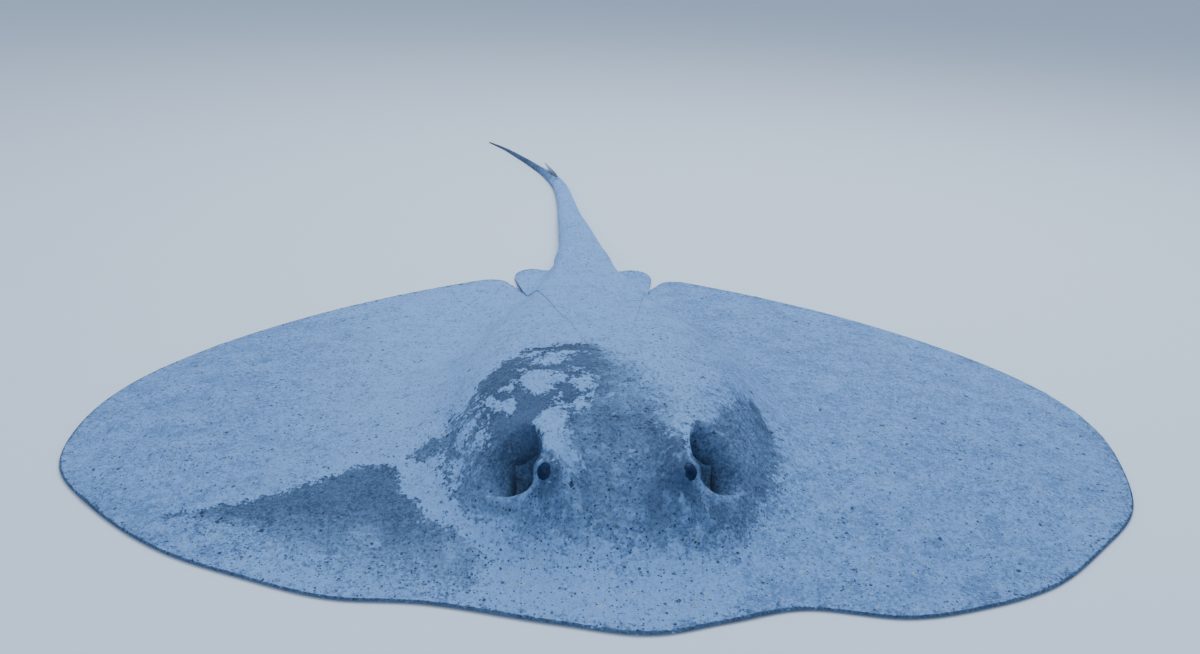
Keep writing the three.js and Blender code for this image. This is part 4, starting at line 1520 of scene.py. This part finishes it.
# The film is dust, and on the front of the head also painted light.
dust_and_light_level = look.total(film, look.total(film_noise, -1.35))
dust_and_light_mask = look.step(dust_and_light_level, -0.08, 1.03)
open_skin = look.work("SUBTRACT", 1.0, look.work("MAXIMUM", painted_shade_and_whip_dark, white))
dust_and_light_mask = look.work("MULTIPLY", dust_and_light_mask, open_skin)
cover = look.work("MAXIMUM", sand_mask, dust_and_light_mask)
colour = look.mix(cover, skin_colour, sand_colour)

# %% Skin gloss and bump
skin_rough = look.blend_numbers(fine_noise, 0.46, 0.72)
look.shader.inputs["Specular IOR Level"].default_value = 0.3
roughness = look.blend_numbers(cover, skin_rough, 0.94)
skin_height = look.total((tip_noise, 0.5), (fine_noise, 0.35), (grit_noise, 0.12))
skin_height = look.work("MULTIPLY", skin_height, look.total((white, -0.85), 1.0))
sand_height = look.total((tip_noise, 0.8), (fine_noise, 0.5), (grit_noise, 0.4), (small_grain, 0.2))
sand_height = look.total(sand_height, (crumb_relief, 0.5))
normal = look.bump(skin_height, 1.7)
normal = look.bump(look.work("MULTIPLY", sand_height, cover), 2.6, normal)
skin.data.materials.append(look.finish(colour, roughness, normal))
print("skin finish:", len(look.tree.nodes), "nodes")

# %% [markdown]
# ## The finishes of the eyes and the sting
#
# The iris of a ray is dull and finely flecked, and under blue water it turns dark slate.
# Its pupil is wide in dim light, and a lobe of iris hangs into it from above, like a
# small awning. The coat of the shader is the wet cornea. The sting is a dark greyed
# ivory, darker still toward its root, with fine lines along it.

# %% Eye finish
wet = Finish("dark_wet_eye")
IRIS_RADIUS = 0.62
PUPIL_RADIUS = 0.40
PUPIL_EDGE = 0.03
IRIS_DARK = (0.004, 0.016, 0.046)
IRIS_LIGHT = (0.010, 0.032, 0.085)
PUPIL_COLOUR = (0.002, 0.011, 0.032)
EYE_WHITE = (0.014, 0.034, 0.075)
across, up = wet.number("sight_across"), wet.number("sight_up")


def apart(middle_up, stretch):
    """How far a point of the eye lies from a middle that is some way up the eye."""
    across_squared = wet.work("POWER", wet.work("ABSOLUTE", across), 2.0)
    lifted = wet.work("MULTIPLY", wet.work("SUBTRACT", up, middle_up), stretch)
    up_squared = wet.work("MULTIPLY", lifted, lifted)
    return wet.work("SQRT", wet.work("ADD", across_squared, up_squared))


iris_away = apart(0.0, 0.9)
awning_away = apart(0.33, 1.0)
flecks = wet.noise(900, 4, 0.65)
iris_colour = wet.mix(wet.step(flecks, 0.42, 0.66), IRIS_DARK, IRIS_LIGHT)
in_pupil = wet.step(iris_away, PUPIL_RADIUS + PUPIL_EDGE, PUPIL_RADIUS - PUPIL_EDGE)
out_of_awning = wet.step(awning_away, 0.24, 0.28)
pupil = wet.work("MULTIPLY", in_pupil, out_of_awning)
eye_colour = wet.mix(pupil, iris_colour, PUPIL_COLOUR)
outside_iris = wet.step(iris_away, IRIS_RADIUS, IRIS_RADIUS + 0.08)
eye_colour = wet.mix(outside_iris, eye_colour, EYE_WHITE)
eye_rough = wet.blend_numbers(flecks, 0.22, 0.36)
wet.shader.inputs["Coat Weight"].default_value = 0.05
wet.shader.inputs["Coat Roughness"].default_value = 0.2
wet.shader.inputs["Specular IOR Level"].default_value = 0.1
eye_material = wet.finish(eye_colour, eye_rough, wet.bump(flecks, 0.15))
for piece in eyeballs:
    piece.data.materials.append(eye_material)
print("eye finish:", len(wet.tree.nodes), "nodes")

# %% Sting finish
IVORY_DARK = (0.14, 0.19, 0.25)
IVORY_LIGHT = (0.34, 0.40, 0.46)
ROOT_DARK_COLOUR = (0.035, 0.055, 0.085)

bony = Finish("ivory_sting")
root_darkening = bony.total((bony.number("root"), 0.8), (bony.noise(70, 4), 0.6), -0.45)
streaks = bony.noise(420, 4, 0.7, 2.0)
ivory = bony.mix(bony.step(streaks, 0.35, 0.7), IVORY_DARK, IVORY_LIGHT)
sting_colour = bony.mix(bony.step(root_darkening, 0.0, 0.6), ivory, ROOT_DARK_COLOUR)
sting_rough = bony.blend_numbers(streaks, 0.38, 0.6)
sting.data.materials.append(bony.finish(sting_colour, sting_rough, bony.bump(streaks, 0.35)))
print("sting finish:", len(bony.tree.nodes), "nodes")

# %% [markdown]
# ## The size of the looks
#
# The last lines print how far each side of the box of everything visible lies from the
# box of the solids, in millimetres.

# %% Sizes
visual_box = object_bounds()
for axis in range(3):
    grown = (visual_box[0][axis] - cad_box[0][axis], visual_box[1][axis] - cad_box[1][axis])
    print("xyz"[axis], "moved by", [round(v / MM, 1) for v in grown], "mm")
